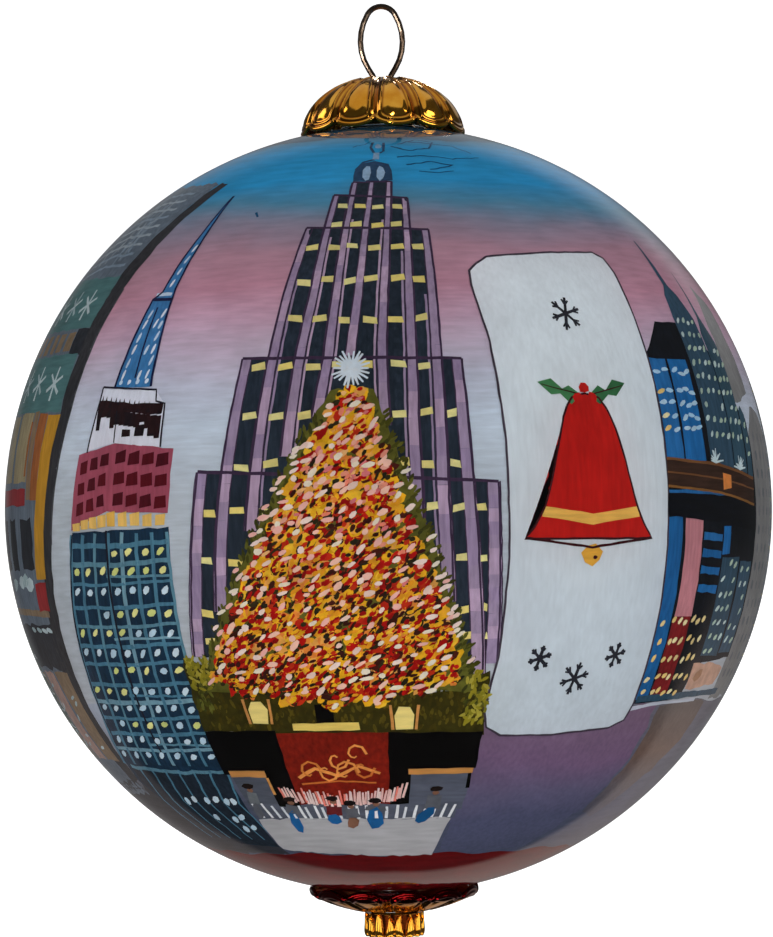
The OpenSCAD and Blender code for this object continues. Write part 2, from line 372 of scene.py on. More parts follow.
class Picture:
    """One piece of the painting: shapes on the ball that share a paint. Higher levels cover lower ones."""

    def __init__(self, name, level, colours, streak, vary, graded=False):
        self.name, self.level = "paint_" + name, level
        self.material = paint(name, colours, streak, vary, graded)
        self.verts, self.normals, self.faces = [], [], []
        PICTURES.append(self)

    def lay(self, points, faces, lift=0.0):
        """Adds flat faces, given over points of (lon, lat), as one closed film."""
        radius = BASE_R + (self.level + lift) * COAT
        start, count = len(self.verts), len(points)
        for depth, side in ((0, 1), (FILM, -1)):
            for lon, lat in points:
                x, y, z = on_ball(lon, lat, radius - depth)
                self.verts.append((x, y, z))
                self.normals.append(tuple(side * c / radius for c in (x, y, z - CENTRE_Z)))
        edges = {}
        for face in faces:
            self.faces.append([start + i for i in face])
            self.faces.append([start + count + i for i in reversed(face)])
            for edge in sides(face):
                edges[edge] = True
        for a, b in edges:
            if (b, a) not in edges:
                self.faces.append([start + b, start + a, start + count + a, start + count + b])

    def shape(self, outline, wobble=0.1, lift=0.0):
        """A filled outline of (lon, lat) points."""
        points = roughen(outline, wobble)
        if sum(x0 * y1 - x1 * y0 for (x0, y0), (x1, y1) in sides(points)) < 0:
            points.reverse()
        spans = [(min(values), max(values) - min(values)) for values in zip(*points)]
        if max(size for low, size in spans) < CELL and len(outline) <= 5:
            self.lay(points, [list(range(len(points)))], lift)
            return
        mesh = bmesh.new()
        mesh.faces.new([mesh.verts.new((x, y, 0)) for x, y in points])
        bmesh.ops.triangulate(mesh, faces=mesh.faces[:])
        for axis, (low, size) in enumerate(spans):
            for i in range(1, math.ceil(size / CELL)):
                cut, across = [0.0, 0.0, 0.0], [0.0, 0.0, 0.0]
                cut[axis], across[axis] = low + size * i / math.ceil(size / CELL), 1.0
                bmesh.ops.bisect_plane(mesh, geom=mesh.verts[:] + mesh.edges[:] + mesh.faces[:], dist=1e-5,
                    plane_co=cut, plane_no=across)
        bmesh.ops.remove_doubles(mesh, verts=mesh.verts[:], dist=1e-4)
        mesh.verts.index_update()
        self.lay([(v.co.x, v.co.y) for v in mesh.verts],
            [[v.index for v in f.verts] for f in mesh.faces if f.calc_area() > 1e-7], lift)
        mesh.free()

    def box(self, x0, y0, x1, y1, wobble=0.1, lift=0.0):
        """A rectangle from its low corner to its high corner."""
        self.shape([(x0, y0), (x1, y0), (x1, y1), (x0, y1)], wobble, lift)

    def stroke(self, path, width, taper=0.0, wobble=0.05, lift=0.0):
        """A brush line along (lon, lat) points, width in degrees, thinner towards its end by taper."""
        line = []
        for (x0, y0), (x1, y1) in zip(path, path[1:]):
            steps = max(1, math.ceil(math.hypot(x1 - x0, y1 - y0) / 1.6))
            line += [(x0 + (x1 - x0) * i / steps + uniform(-wobble, wobble),
                y0 + (y1 - y0) * i / steps + uniform(-wobble, wobble)) for i in range(steps)]
        line.append(path[-1])
        points = []
        for i, (x, y) in enumerate(line):
            (ax, ay), (bx, by) = line[max(i - 1, 0)], line[min(i + 1, len(line) - 1)]
            squeeze = max(math.cos(math.radians(y)), 0.1)
            dx, dy = (bx - ax) * squeeze, by - ay
            length = math.hypot(dx, dy) or 1
            half = width / 2 * (1 - taper * i / (len(line) - 1)) * uniform(0.85, 1.15)
            points.append((x - dy / length * half / squeeze, y + dx / length * half))
            points.append((x + dy / length * half / squeeze, y - dx / length * half))
        self.lay(points, [[2 * i + 1, 2 * i + 3, 2 * i + 2, 2 * i] for i in range(len(line) - 1)], lift)

    def dab(self, lon, lat, length, width, turn, lift=0.0):
        """One touch of a small brush, turned anticlockwise by turn degrees."""
        turn = math.radians(turn)
        squeeze = max(math.cos(math.radians(lat)), 0.1)
        points = []
        for i in range(7):
            a = math.tau * i / 7 + 0.3
            u = length / 2 * math.cos(a) * uniform(0.8, 1.15)
            v = width / 2 * math.sin(a) * uniform(0.8, 1.15)
            points.append((lon + (u * math.cos(turn) - v * math.sin(turn)) / squeeze,
                lat + u * math.sin(turn) + v * math.cos(turn)))
        self.lay(points, [list(range(7))], lift)

    def touch(self, lon, lat, length, width, turn, lift=0.0):
        """A dab whose length, width and turn each lie between two limits, at up to lift."""
        self.dab(lon, lat, uniform(*length), uniform(*width), uniform(*turn), lift and lift * rng.random())

    def ring(self, lat0, lat1, edge=0.0):
        """A belt right round the ball, with an unsteady upper edge."""
        columns = round(360 / CELL)
        rows = max(1, math.ceil((lat1 - lat0) / CELL))
        points, faces = [], []
        for j in range(rows + 1):
            for i in range(columns):
                rise = edge * (math.sin(i * 0.31) + math.sin(i * 0.83 + 1)) if j == rows else 0
                points.append((i * 360 / columns, lat0 + (lat1 - lat0) * j / rows + rise))
                here, there = j * columns + i, j * columns + (i + 1) % columns
                if j < rows:
                    faces.append([here, there, there + columns, here + columns])
        self.lay(points, faces)

    def build(self):
        piece = add_mesh(self.name, self.verts, self.faces)
        piece.data.materials.append(self.material)
        piece.data.normals_split_custom_set_from_vertices(self.normals)
        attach(piece, "ball")
        return piece


# ---------------------------------------------------------------- the picture's sky and ground

def paint_sky():
    """First coat: blue overhead, darkening to teal round the neck as painted shade under the cap, then mauve,
    then pale mist down to the ground.
    """
    # The stops at lat 71 and 75 darken the blue round the neck: painted shade under the cap.
    coat = Picture("sky", 0, [(-40, (146, 148, 154)), (0, (150, 158, 166)), (11, (162, 172, 184)),
        (17, (158, 160, 174)), (25, (160, 132, 150)), (31, (156, 114, 130)), (38, (146, 112, 126)),
        (43, (112, 110, 126)), (47.5, (66, 112, 136)), (52.5, (34, 122, 164)), (64, (32, 126, 168)),
        (71, (36, 98, 124)), (75, (28, 62, 84))], "round", 0.1, True)
    coat.ring(-86, 82)
    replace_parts(coat.build(), "paint_picture")


def paint_ground():
    """Slate ground, purple near the card, and the red band under the scene."""
    ground = Picture("ground", 1, [(-66, (56, 60, 76)), (-50, (62, 66, 84)), (-40, (74, 76, 90)),
        (-30, (84, 82, 92))], "round", 0.14, True)
    ground.ring(-66, -29.8, 0.25)
    dusk = Picture("dusk", 2, [(-62, (60, 64, 84)), (-51, (64, 66, 88)), (-45, (76, 72, 94)),
        (-38, (92, 72, 96)), (-30, (96, 76, 94))], "up", 0.1, True)
    dusk.shape([(13, -61), (38, -61), (47, -50), (50, -40), (49, -30.2), (13, -31)], 0.5)
    warm = Picture("ground_warm", 2.2, [(-52, (62, 62, 76)), (-46, (76, 70, 74)), (-38, (88, 70, 62)),
        (-30, (78, 70, 68))], "up", 0.12, True)
    warm.shape([(48, -51), (50.5, -40), (50, -30.4), (66, -30.2), (66, -37), (60, -45), (54, -52)], 0.5)
    line = Picture("snow_line", 5, [(150, 154, 164)], "round", 0.1)
    line.stroke([(61, -29.8), (56, -29.9), (48, -30.1), (43, -30.9)], 0.5)
    line.stroke([(43, -30.8), (46, -30.4)], 0.8, 0.5)
    strip = Picture("pale_strip", 2.5, [(-46, (58, 60, 66)), (-38, (104, 110, 122)), (-30, (140, 146, 160))],
        "up", 0.1, True)
    strip.shape([(-61.5, -29), (-55, -29), (-56, -34), (-57.5, -38), (-61, -44), (-63, -46), (-61.5, -40)],
        0.1)
    shade = Picture("corner_shade", 2, [(40, 42, 48)], "round", 0.2)
    shade.shape([(-100, -45), (-60, -43), (-54, -51), (-45, -56.8), (-33, -57.4), (-31, -60.6),
        (-100, -60.6)], 0.5)
    band = Picture("red_band", 3, [(76, 5, 7)], "round", 0.2)
    band.ring(-86, -60.3, 0.35)


# ---------------------------------------------------------------- the stepped tower

# Lilac piers of the tower from left to right, each with (lon, lat) points from its top down.
PIERS = [[(-26.3, 4.2), (-27.9, -10), (-29.6, -21.5)], [(-20.6, 20), (-23, 0), (-24.6, -15)],
    [(-14, 42), (-15.6, 30), (-17.7, 10), (-19.1, -4)], [(-10.1, 49.2), (-11.3, 30), (-12.6, 20), (-14, 6)],
    [(-6.5, 52.4), (-7.7, 30), (-8.4, 20), (-9.8, 11)], [(-2.7, 52.4), (-4.2, 30), (-5.2, 20)],
    [(1.2, 52.4), (-0.2, 30), (-0.6, 20), (-0.2, 10)], [(4.3, 48.2), (3.8, 30), (3.7, 10), (4.1, -4)],
    [(7.5, 41.2), (7.3, 20), (7.5, 0), (8.3, -14)], [(10.2, 19.4), (10.8, 4), (11.8, -10), (13.2, -25)],
    [(14.4, 2.2), (14.7, -10), (15.2, -23)]]
WALL_EDGE = 0.7    # how far each tier's wall stands out past its last piers
TIERS = 5          # the first tier spans the middle three piers, and each lower one two more
FLOORS = [46.4, 42.3, 37.9, 32, 25.6, 18.6, 11.8, 4.9, -1.2, -8, -15.2, -19]


def along(points, lat):
    """Lon of a line of (lon, lat) points at a lat."""
    for (x0, y0), (x1, y1) in zip(points, points[1:]):
        if lat >= y1:
            return x0 + (x1 - x0) * (lat - y0) / (y1 - y0)
    return points[-1][0]


def pier_width(lat):
    """A pier's width in degrees, which grows downwards."""
    return 1.0 + 0.016 * (45 - lat)


def beside(line, lats, side, gap):
    """A line of places a little off a pier's left (-1) or right (1) edge."""
    return [(along(line, lat) + side * (pier_width(lat) / 2 + gap), lat) for lat in lats]


def paint_tower():
    """The stepped tower, its lilac piers with their shaded edges, and its windows."""
    wall = Picture("tower_wall", 2, [(30, 38, 48)], "up", 0.3)
    pier = Picture("tower_piers", 5, [(134, 118, 142), (126, 110, 136), (144, 124, 146)], "up", 0.16)
    shade = Picture("tower_edges", 6, [(50, 36, 56)], "up", 0.2)
    lit = Picture("tower_windows", 7, [(208, 196, 122), (214, 206, 138), (200, 184, 104)], "dab", 0.12)
    middle = len(PIERS) // 2
    for tier in range(TIERS):
        wall_left = [(x - WALL_EDGE, y) for x, y in PIERS[middle - tier - 1]]
        wall_right = [(x + WALL_EDGE, y) for x, y in PIERS[middle + tier + 1]]
        wall.shape(wall_left + wall_right[::-1], 0.06, 0.15 * (TIERS - tier))
        shade.stroke(wall_left, 0.3)
        shade.stroke(wall_right, 0.3)
        shade.stroke([wall_left[0], wall_right[0]], 0.44)
    for i, line in enumerate(PIERS):
        levels = [line[0][1] - (line[0][1] - line[-1][1]) * k / 14 for k in range(15)]
        for a, b in zip(levels, levels[1:]):
            wide = pier_width(a) / 2
            pier.shape([(along(line, b) - wide, b), (along(line, b) + wide, b), (along(line, a) + wide, a),
                (along(line, a) - wide, a)], 0.03)
        for side in (-1, 1):
            shade.stroke(beside(line, levels, side, 0.05), 0.16)
        if 1 < i < 9 and i != middle:
            # A thin second line beside the pier, on its side towards the tower's middle.
            inward = 1 if i < middle else -1
            pier.stroke(beside(line, levels[3:], inward, 0.42), 0.3, 0, 0.04)
    for lat in FLOORS:
        for a, b in zip(PIERS, PIERS[1:]):
            if lat > min(a[0][1], b[0][1]) - 1:
                continue
            low, high = along(a, lat) + pier_width(lat) / 2, along(b, lat) - pier_width(lat) / 2
            x, half = (low + high) / 2 + uniform(-0.2, 0.2), min((high - low) * 0.42, 1.15)
            y, tilt = lat + uniform(-0.3, 0.3), uniform(-0.15, 0.15)
            lit.shape([(x - half, y - 0.5 - tilt), (x + half, y - 0.5 + tilt),
                (x + half * 0.9, y + 0.5 + tilt), (x - half, y + 0.46 - tilt)], 0.09)
    for (x, y), (reach, drop) in (((-13.2, 41.9), (1.6, 1.6)), ((6, 41), (1.2, 1.2)),
            ((4.7, 48.2), (0.6, 0.8)), ((-18.8, 19.8), (1.2, 2.6)), ((9, 19.2), (0.8, 1.6)),
            ((-24.6, 3.8), (0.9, 3)), ((12.9, 1.8), (0.8, 3.2)), ((-8.5, 49), (0.9, 1.2))):
        wall.dab(x, y - drop / 2, drop * 1.1, reach, 90, 3)
    lantern = Picture("lantern", 4, [(38, 66, 92), (32, 54, 78)], "up", 0.2)
    glow = Picture("lantern_glass", 6, [(112, 138, 160), (124, 146, 166)], "up", 0.16)
    lantern.shape([(-7.2, 52.7), (-7.3, 55.6), (-6, 58), (-2.2, 58.8), (1.4, 57.6), (2.2, 55.4), (2.2, 52.7)],
        0.12)
    for x in (-4.1, -0.7):
        glow.dab(x, 54.9, 4.4, 1.3, 90)
    glow.box(-2.9, 59.3, -1.1, 61.7, 0.1)
    glow.dab(-1.6, 64.4, 2.2, 0.9, 90)
    lantern.stroke([(-3.6, 66.4), (-4, 64), (-2.8, 61.8)], 0.4)
    lantern.stroke([(-2.4, 59.2), (-5.4, 58.4), (-7, 56)], 0.4, 0, 0.05, 1)
    lantern.stroke([(0.2, 66.2), (0.1, 62.4), (-1, 61.6)], 0.36)


def paint_wisps():
    """Loose dark-blue brush lines in the sky beside the mast."""
    wisp = Picture("wisps", 3, [(16, 62, 94), (22, 72, 104)], "dab", 0.2)
    wisp.stroke([(2.5, 64.6), (8, 62.6), (15, 63.6), (18, 66.5), (12, 67.6), (5, 65.4)], 0.36, 0.3, 0.2)
    wisp.stroke([(4, 60.2), (12, 60.6), (20, 59.6), (29, 60.4)], 0.34, 0.5, 0.15)
    wisp.stroke([(6, 57.6), (13, 58.4), (19, 57.4), (12, 56)], 0.34, 0.3, 0.2)
    wisp.stroke([(8, 66.5), (14, 66), (24, 64.8), (28, 62)], 0.34, 0.5, 0.2)
    wisp.stroke([(9, 55.4), (14, 55), (18, 55.6)], 0.26, 0.4)
    wisp.stroke([(-10, 64.5), (-6.5, 65.5), (-4.4, 67)], 0.24, 0.4, 0.2)
    wisp.stroke([(-26.9, 46), (-26, 45)], 0.4, 0.3)


# ---------------------------------------------------------------- the lit tree

TREE_TOP, TREE_FOOT = 15.4, -29.6


def tree_side(lat, side):
    """Lon of the tree's left (-1) or right (1) edge at a lat."""
    drop = TREE_TOP - lat
    return -6.8 - drop * 0.535 if side < 0 else -3 + drop * 0.36


def tree_hem(lon):
    """Lat of the tree's uneven lower edge at a lon."""
    return TREE_FOOT + 0.8 + 0.6 * math.sin(lon * 0.9) + 0.0085 * (lon + 9) ** 2


def inside_tree(margin):
    """A random place on the tree, spread evenly, and margin degrees inside its edges."""
    while True:
        lat = uniform(TREE_FOOT, TREE_TOP)
        lon = uniform(tree_side(TREE_FOOT, -1), tree_side(TREE_FOOT, 1))
        beside = tree_side(lat, -1) + margin < lon < tree_side(lat, 1) - margin
        if beside and lat > tree_hem(lon):
            return lon, lat


def paint_tree():
    """The lit tree in red and gold with a star on top."""
    needles = Picture("tree_green", 8, [(58, 58, 16), (44, 46, 16), (74, 74, 26)], "dab", 0.25)
    fringe = []
    for side in (1, -1):
        lats = [15, 12, 4, -4, -12, -20, -27][::side]
        fringe += [(tree_side(lat, side) + side * 1.1, lat) for lat in lats]
    needles.shape(fringe, 0.3)
    for i in range(520):
        lat = uniform(TREE_FOOT, 12)
        side = rng.choice((-1, 1))
        x = tree_side(lat, side) + side * uniform(-1.2, 1.9)
        needles.dab(x, lat, uniform(0.9, 1.7), 0.5, 70 - side * 25 + uniform(-20, 20),
            0.2 + 0.5 * rng.random())

    lights = Picture("tree_lights", 9, [(194, 148, 24), (178, 132, 18), (150, 30, 14), (192, 140, 34),
        (120, 10, 8), (180, 106, 44), (56, 20, 12), (200, 160, 40), (150, 20, 12), (178, 128, 60),
        (188, 142, 24)], "dab", 0.18)
    for i in range(1500):
        lights.touch(*inside_tree(0.5), (1.3, 2.6), (0.9, 1.6), (0, 80), 1)
    reds = Picture("tree_reds", 10.2, [(150, 14, 10), (118, 10, 8), (44, 18, 10), (28, 26, 14), (152, 36, 14),
        (192, 144, 26), (36, 32, 14), (128, 10, 8), (176, 120, 24), (40, 14, 10)], "dab", 0.2)
    for i in range(1900):
        lon, lat = inside_tree(0.5)
        if rng.random() > 0.3 + 0.02 * lat:
            reds.touch(lon, lat, (0.8, 1.7), (0.4, 0.75), (10, 70), 1.4)
    pinks = Picture("tree_pinks", 11, [(204, 132, 112), (214, 156, 138), (196, 112, 92), (210, 164, 108),
        (168, 92, 96)], "dab", 0.14)
    for i in range(620):
        lon, lat = inside_tree(0.7)
        if rng.random() < 0.55 + 0.04 * lat:
            pinks.touch(lon, lat, (0.8, 1.7), (0.45, 0.8), (10, 70), 0.8)
    sparks = Picture("tree_sparks", 12, [(226, 200, 188), (222, 214, 196), (218, 168, 160), (226, 208, 200),
        (216, 176, 160)], "dab", 0.08)
    lat = TREE_FOOT + 0.5
    while lat < TREE_TOP - 1:
        x = tree_side(lat, -1) + uniform(0, 1.5)
        while x < tree_side(lat, 1):
            y = lat + uniform(-0.8, 0.8)
            if y > tree_hem(x):
                sparks.touch(x, y, (0.9, 2.1), (0.5, 0.95), (8, 52), 1)
            x += uniform(1.7, 3.8)
        lat += 1.75
    for i in range(46):
        lat = uniform(-23, 8)
        side = rng.choice((-1, 1))
        sparks.dab(tree_side(lat, side) + side * uniform(0.2, 1.6), lat, uniform(1.1, 1.7), 0.6,
            uniform(15, 45), rng.random())
    leaves = Picture("bush_leaves", 11, [(118, 108, 26), (134, 124, 44), (98, 92, 22)], "dab", 0.15)
    for i in range(110):
        x, y = rng.choice(((uniform(-32, -28.4), uniform(-26.5, -21.6)),
            (uniform(11.5, 15.2), uniform(-32.5, -23.6))))
        leaves.dab(x, y, uniform(0.9, 1.5), 0.5, uniform(20, 160), rng.random())

    star = Picture("tree_star", 13, [(200, 210, 218), (190, 202, 212)], "dab", 0.06)
    centre = (-5, 18.1)
    for i in range(22):
        turn = math.tau * i / 22 + uniform(-0.06, 0.06)
        star.stroke([centre, polar(*centre, uniform(2.3, 3), turn)], 0.5, 0.5, 0.02, 0.6 * rng.random())
    star.dab(*centre, 2.9, 2.7, 0, 0.7)


# ---------------------------------------------------------------- the rink under the tree

def paint_rink():
    """The rink, the gilded scroll over it and the crowd at its edge."""
    hedge = Picture("hedge", 7, [(54, 46, 8), (44, 40, 8), (68, 58, 14)], "dab", 0.25)
    hedge.shape([(-32.5, -21.4), (-29, -23), (-26, -27), (10, -27), (14.8, -23.8), (15.4, -34.4),
        (-32.8, -33.4)], 0.3)
    for i in range(420):
        hedge.dab(uniform(-32, 15), uniform(-33, -27), uniform(0.8, 1.6), 0.5, uniform(50, 120),
            0.2 + 0.6 * rng.random())

    dark = Picture("rink_dark", 9, [(2, 1, 1)], "round", 0.4)
    dark.box(-32.8, -41.2, -19.4, -33.2, 0.15)
    dark.box(-0.6, -40.2, 15.2, -33.6, 0.15)
    dark.box(-12.1, -32.2, -9.1, -28.8, 0.12)
    dark.box(-24.2, -47.6, -19.3, -40, 0.12)
    dark.box(-0.6, -47, 3.4, -40, 0.12)
    dark.stroke([(13.9, -34), (14.6, -44)], 0.5)
    panel = Picture("rink_panel", 8, [(98, 20, 9)], "up", 0.28)
    panel.box(-19.6, -47.4, -0.4, -33.5, 0.1)
    wall = Picture("rink_walls", 8, [(72, 76, 88), (64, 68, 78)], "round", 0.18)
    wall.box(-31.4, -48.6, -24, -40.8, 0.15)
    wall.box(3.2, -48.6, 14.6, -40.2, 0.15)
    wall.box(-31.4, -50.6, 13.6, -47, 0.15, 0.6)
    ledge = Picture("rink_ledges", 10, [(170, 118, 62), (156, 108, 58)], "round", 0.15)
    ledge.box(-31.6, -41.5, -24, -40.3, 0.08)
    ledge.box(3, -41.1, 14.8, -40.1, 0.08)
    ledge.stroke([(-24, -41.6), (-23.9, -45)], 0.4)
    cream = Picture("rink_cream", 10, [(216, 192, 100), (222, 202, 122)], "round", 0.1)
    cream.box(-16.2, -33.1, -5.2, -31.9, 0.1)
    for x, y in ((-21.6, -30.2), (2.1, -31.3)):
        ledge.stroke([(x - 2.2, y + 2.2), (x - 1.9, y - 1.8)], 0.4)
        ledge.stroke([(x + 2.2, y + 2.2), (x + 1.9, y - 1.8)], 0.4)
        cream.shape([(x - 1.3, y - 1.8), (x + 1.3, y - 1.8), (x + 1.6, y + 0.6), (x + 0.8, y + 1.9),
            (x - 0.9, y + 1.9), (x - 1.6, y + 0.5)], 0.12)
    # A gilded scroll of leaves on the panel.
    gilt = Picture("rink_scroll", 11, [(176, 104, 44), (192, 124, 60), (160, 86, 36)], "dab", 0.15)
    gilt.stroke([(-17.6, -41.6), (-14, -39.8), (-10, -41.2), (-6, -39.4), (-2.2, -40.8)], 0.6, 0.3)
    for x, y, size, way in ((-15.2, -40.4, 2.4, 1), (-12, -40.4, 2.2, -1), (-8.6, -40.6, 2.6, 1),
            (-5.4, -39.8, 2.3, -1), (-9.8, -38.2, 2.2, -1), (-6.4, -37.2, 2, 1)):
        gilt.stroke([polar(x, y, size * (1 - t / 9), way * t * 0.75) for t in range(8)], 0.42, 0.4)
    gilt.stroke([(-17.4, -42.8), (-10, -42.2), (-3, -42.6)], 0.34, 0.2)

    ice = Picture("ice", 8, [(140, 139, 141)], "round", 0.1)
    ice.shape([(-32, -58.8), (-20, -59.8), (0, -60.6), (10.8, -60.4), (13, -50.4), (-4, -50.2),
        (-31.4, -50.6)], 0.3, 0.8)
    fence = Picture("fence", 12, [(176, 180, 184), (190, 192, 194)], "up", 0.08)
    x = -29.6
    while x < 13.4:
        fence.stroke([(x, -50.2), (x + 0.04 * (x + 8), -50.2 + uniform(2.4, 3.3))], 0.45, 0.2)
        x += uniform(1.3, 2.2)
    flags = Picture("flags", 13, [(206, 164, 158), (216, 192, 188), (190, 104, 92), (210, 176, 170)], "up",
        0.1)
    for i in range(46):
        x = -22 + 24 * i / 45 + uniform(-0.15, 0.15)
        y = -47.3 + 0.01 * (x + 10) ** 2 + uniform(-0.3, 0.3)
        flags.stroke([(x, y), (x + 0.05 * (x + 10) + uniform(-0.1, 0.3), y + uniform(2, 3.2))], 0.36, 0.3)
    paint_skaters()


def paint_skaters():
    """Tiny people at the rink's edge, each a coat, trousers, dark hair and a plain face."""
    coats = Picture("coats", 13, [(84, 26, 28), (84, 88, 92), (72, 74, 80)], "dab", 0.15)
    legs = Picture("legs", 13, [(16, 66, 108), (20, 72, 118)], "dab", 0.15)
    hair = Picture("hair", 14, [(16, 10, 10), (22, 14, 12)], "dab", 0.2)
    faces = Picture("faces", 13.6, [(104, 72, 56)], "dab", 0.1)
    people = [((-29, -43.6), (-29.6, -47), (-30.4, -50.4), 1.3, coats),
        ((-21.3, -46.2), (-21.9, -49), (-22.3, -53.4), 1.6, legs), ((-12.2, -46), (-12.6, -49.4),
        (-13, -51.6), 2, legs), ((-8.8, -47), (-8.5, -50), (-9.5, -52.4), 1.7, faces),
        ((-3.5, -46.5), (-3.6, -48.4), (-3.8, -52.4), 2.4, legs), ((8.4, -44.3), (8.2, -48.2), (5.4, -51.4),
        2, legs)]
    for head, hips, feet, wide, trousers in people:
        coats.stroke([(head[0], head[1] - 1), hips], wide, -0.25)
        across, down = (feet[0] - hips[0]) * math.cos(math.radians(hips[1])), feet[1] - hips[1]
        trousers.dab((hips[0] + feet[0]) / 2, (hips[1] + feet[1]) / 2, math.hypot(across, down) * 1.25, wide,
            math.degrees(math.atan2(down, across)))
        hair.dab(head[0], head[1] + 0.3, 1.9, 1.2, 5)
        faces.dab(head[0] + 0.1, head[1] - 0.5, 1, 0.9, 0)


# ---------------------------------------------------------------- the spired block on the left

def paint_spire_block():
    """The spired block on the left of the tower."""
    body = Picture("block_body", 3, [(20, 42, 62)], "up", 0.3)
    body.shape([(-51, -3.6), (-31.8, -3.2), (-31.8, -20), (-32.6, -38), (-32.4, -58), (-45, -57.4),
        (-54, -52), (-61, -43), (-59.7, -38), (-58, -34), (-56, -26), (-54.8, -19), (-53.4, -12)], 0.12)
    foot = Picture("block_foot", 4, [(24, 32, 42)], "up", 0.3)
    foot.shape([(-58.6, -40.6), (-46, -41.4), (-32.6, -41), (-32.4, -58), (-45, -57.4), (-54, -52),
        (-60, -43)], 0.2)
    grid = Picture("block_grid", 5, [(78, 116, 132), (60, 100, 120), (92, 124, 138)], "up", 0.2)
    rows = [-6.5, -9.1, -11.9, -15.2, -18, -20.9, -23.6, -26.8, -29.6, -32.3, -35, -37.8]

    def column(share, lat):
        """Longitude of a place across the block's face, 0 at its left edge and 1 at its right."""
        left = -51.2 + (lat + 4) * 0.21 + min(lat + 34, 0) * 0.35
        return left + (-32 - left) * share

    for i in range(8):
        path = [(column(i / 7, lat), lat) for lat in (-3.8, -12, -21, -30, -39.6)]
        grid.stroke(path, uniform(0.5, 0.8), 0.2, 0.12)
    for i, lat in enumerate(rows):
        above = lat + 1.4
        grid.stroke([(column(0, above), above - 0.3), (column(0.5, above), above - 0.5),
            (column(1, above), above)], uniform(0.45, 0.75), 0.1, 0.12)
        if i % 3 == 1:
            grid.stroke([(column(0.4, lat), lat - 0.8), (column(1, lat), lat - 0.7)], 0.4, 0.2, 0.12)
    for i in range(7):
        x = -56 + 4 * i
        grid.stroke([(x, -40.4), (x - 1.6, -47), (x + 1, -56)], 0.4, 0.5, 0.2)
    grid.stroke([(-58.6, -40.2), (-46, -41), (-32.6, -40.6)], 0.7, 0.2, 0.2)
    yellow = Picture("block_windows", 7, [(176, 180, 108), (192, 188, 122)], "dab", 0.1)
    white = Picture("block_panes_white", 7, [(172, 194, 208), (188, 204, 214)], "dab", 0.1)
    for lat, kinds in zip(rows, ("---yyyy", "yyyyyyy", "wwwwwww", "--wyyyy", "yyyywww", "wwwwwww", "--yyywy",
            "yyywwww", "wwwwwww", "-wyyywy", "wwwwwww", "wwwwwww")):
        for i, kind in enumerate(kinds):
            if kind != "-":
                marks = white if kind == "w" else yellow
                marks.touch(column((i + 0.5) / 7, lat) + uniform(-0.25, 0.25), lat + uniform(-0.15, 0.15),
                    (1.4, 1.8), (0.8, 1.05), (20, 50))
    for x, lat in ((-48.4, -46.9), (-45.8, -46.5), (-42, -46.6), (-39.2, -46.3), (-36.7, -46.8),
            (-34.9, -46.7), (-43.6, -50.4), (-38.2, -50.8), (-35.9, -50.3), (-37.6, -53.2), (-34.9, -52.8)):
        white.dab(x, lat, 1.7, 1.05, uniform(50, 80))
    corner = Picture("block_corner", 6, [(22, 20, 30)], "up", 0.3)
    corner.stroke([(-43.3, -3.4), (-44.2, -20), (-45.6, -38)], 0.4)
    corner.stroke([(-51, -3.8), (-53.8, -15), (-55.6, -25), (-57.6, -34)], 0.3)

    sill = Picture("block_sill", 5, [(196, 154, 70), (204, 166, 88)], "up", 0.12)
    for i in range(9):
        left_face = i < 4
        x = -50.8 + 1.9 * i if left_face else -43.1 + 2.25 * (i - 4)
        low = -3.3 + 0.12 * i if left_face else -2.9
        high = -2.3 + 0.35 * i if left_face else -0.9 - 0.16 * (i - 4)
        sill.shape([(x, low), (x + 1.7, low), (x + 1.8, high + 0.2), (x + 0.1, high)], 0.1)
    maroon = Picture("block_crown", 4, [(132, 62, 78)], "up", 0.16)
    maroon.shape([(-49.6, 7.3), (-41.8, 8.8), (-31, 7.6), (-31.8, -1.2), (-43, -0.8), (-51.2, -3.3)], 0.1)
    panes = Picture("block_panes", 6, [(72, 10, 20), (58, 8, 18)], "up", 0.2)
    for row in range(3):
        for i in range(7):
            left_face = i < 3
            x = -48.9 + 2.25 * i - 0.35 * row if left_face else -41.4 + 2.55 * (i - 3) - 0.15 * row
            y = 4.6 + 0.5 * i - 2.9 * row if left_face else 5.8 - 0.2 * (i - 3) - 2.9 * row
            wide = 1.5 if left_face else 1.95
            panes.shape([(x - 0.15, y), (x + wide, y + 0.2), (x + wide, y + 1.9), (x, y + 1.6)], 0.1)
    cap = Picture("block_cap", 4, [(184, 186, 192), (174, 176, 186)], "up", 0.08)
    cap.shape([(-46.2, 16.8), (-35.2, 15.9), (-33.4, 14), (-33.4, 7.9), (-42, 8.8), (-47.6, 7.8)], 0.12)
    drips = Picture("block_drips", 6, [(30, 14, 16), (20, 12, 16)], "up", 0.3)
    drips.shape([(-46.6, 14.9), (-41, 14.6), (-33.5, 13.9), (-33.8, 12.6), (-41.2, 12.9), (-46.4, 13)], 0.25)
    for i in range(13):
        x = -46 + 0.98 * i
        high = 15.7 - 0.13 * i
        drips.shape([(x - 0.3, high - 1.6), (x + 0.5, high - 1.6), (x + uniform(0, 0.3), high)], 0.08)
        deep = rng.choice((0.8, 1.6, 2.2, 2.8))
        drips.stroke([(x, high - 1.8), (x + 0.1, high - 2.2 - deep)], uniform(1, 1.6), 0.2)
    for x in (-40.8, -38.2, -35.8):
        drips.box(x, 9.5, x + 1.7, 10.6 if x < -40 else 11.1, 0.12)
    corner.stroke([(-46.3, 17), (-35.2, 16.1), (-35, 14.4), (-33.3, 14.1), (-33.3, 7.9)], 0.26)
    corner.stroke([(-46.3, 17), (-46.4, 15), (-47.7, 7.6)], 0.26)
    corner.stroke([(-42.3, 14.6), (-42.1, 8.8)], 0.22)

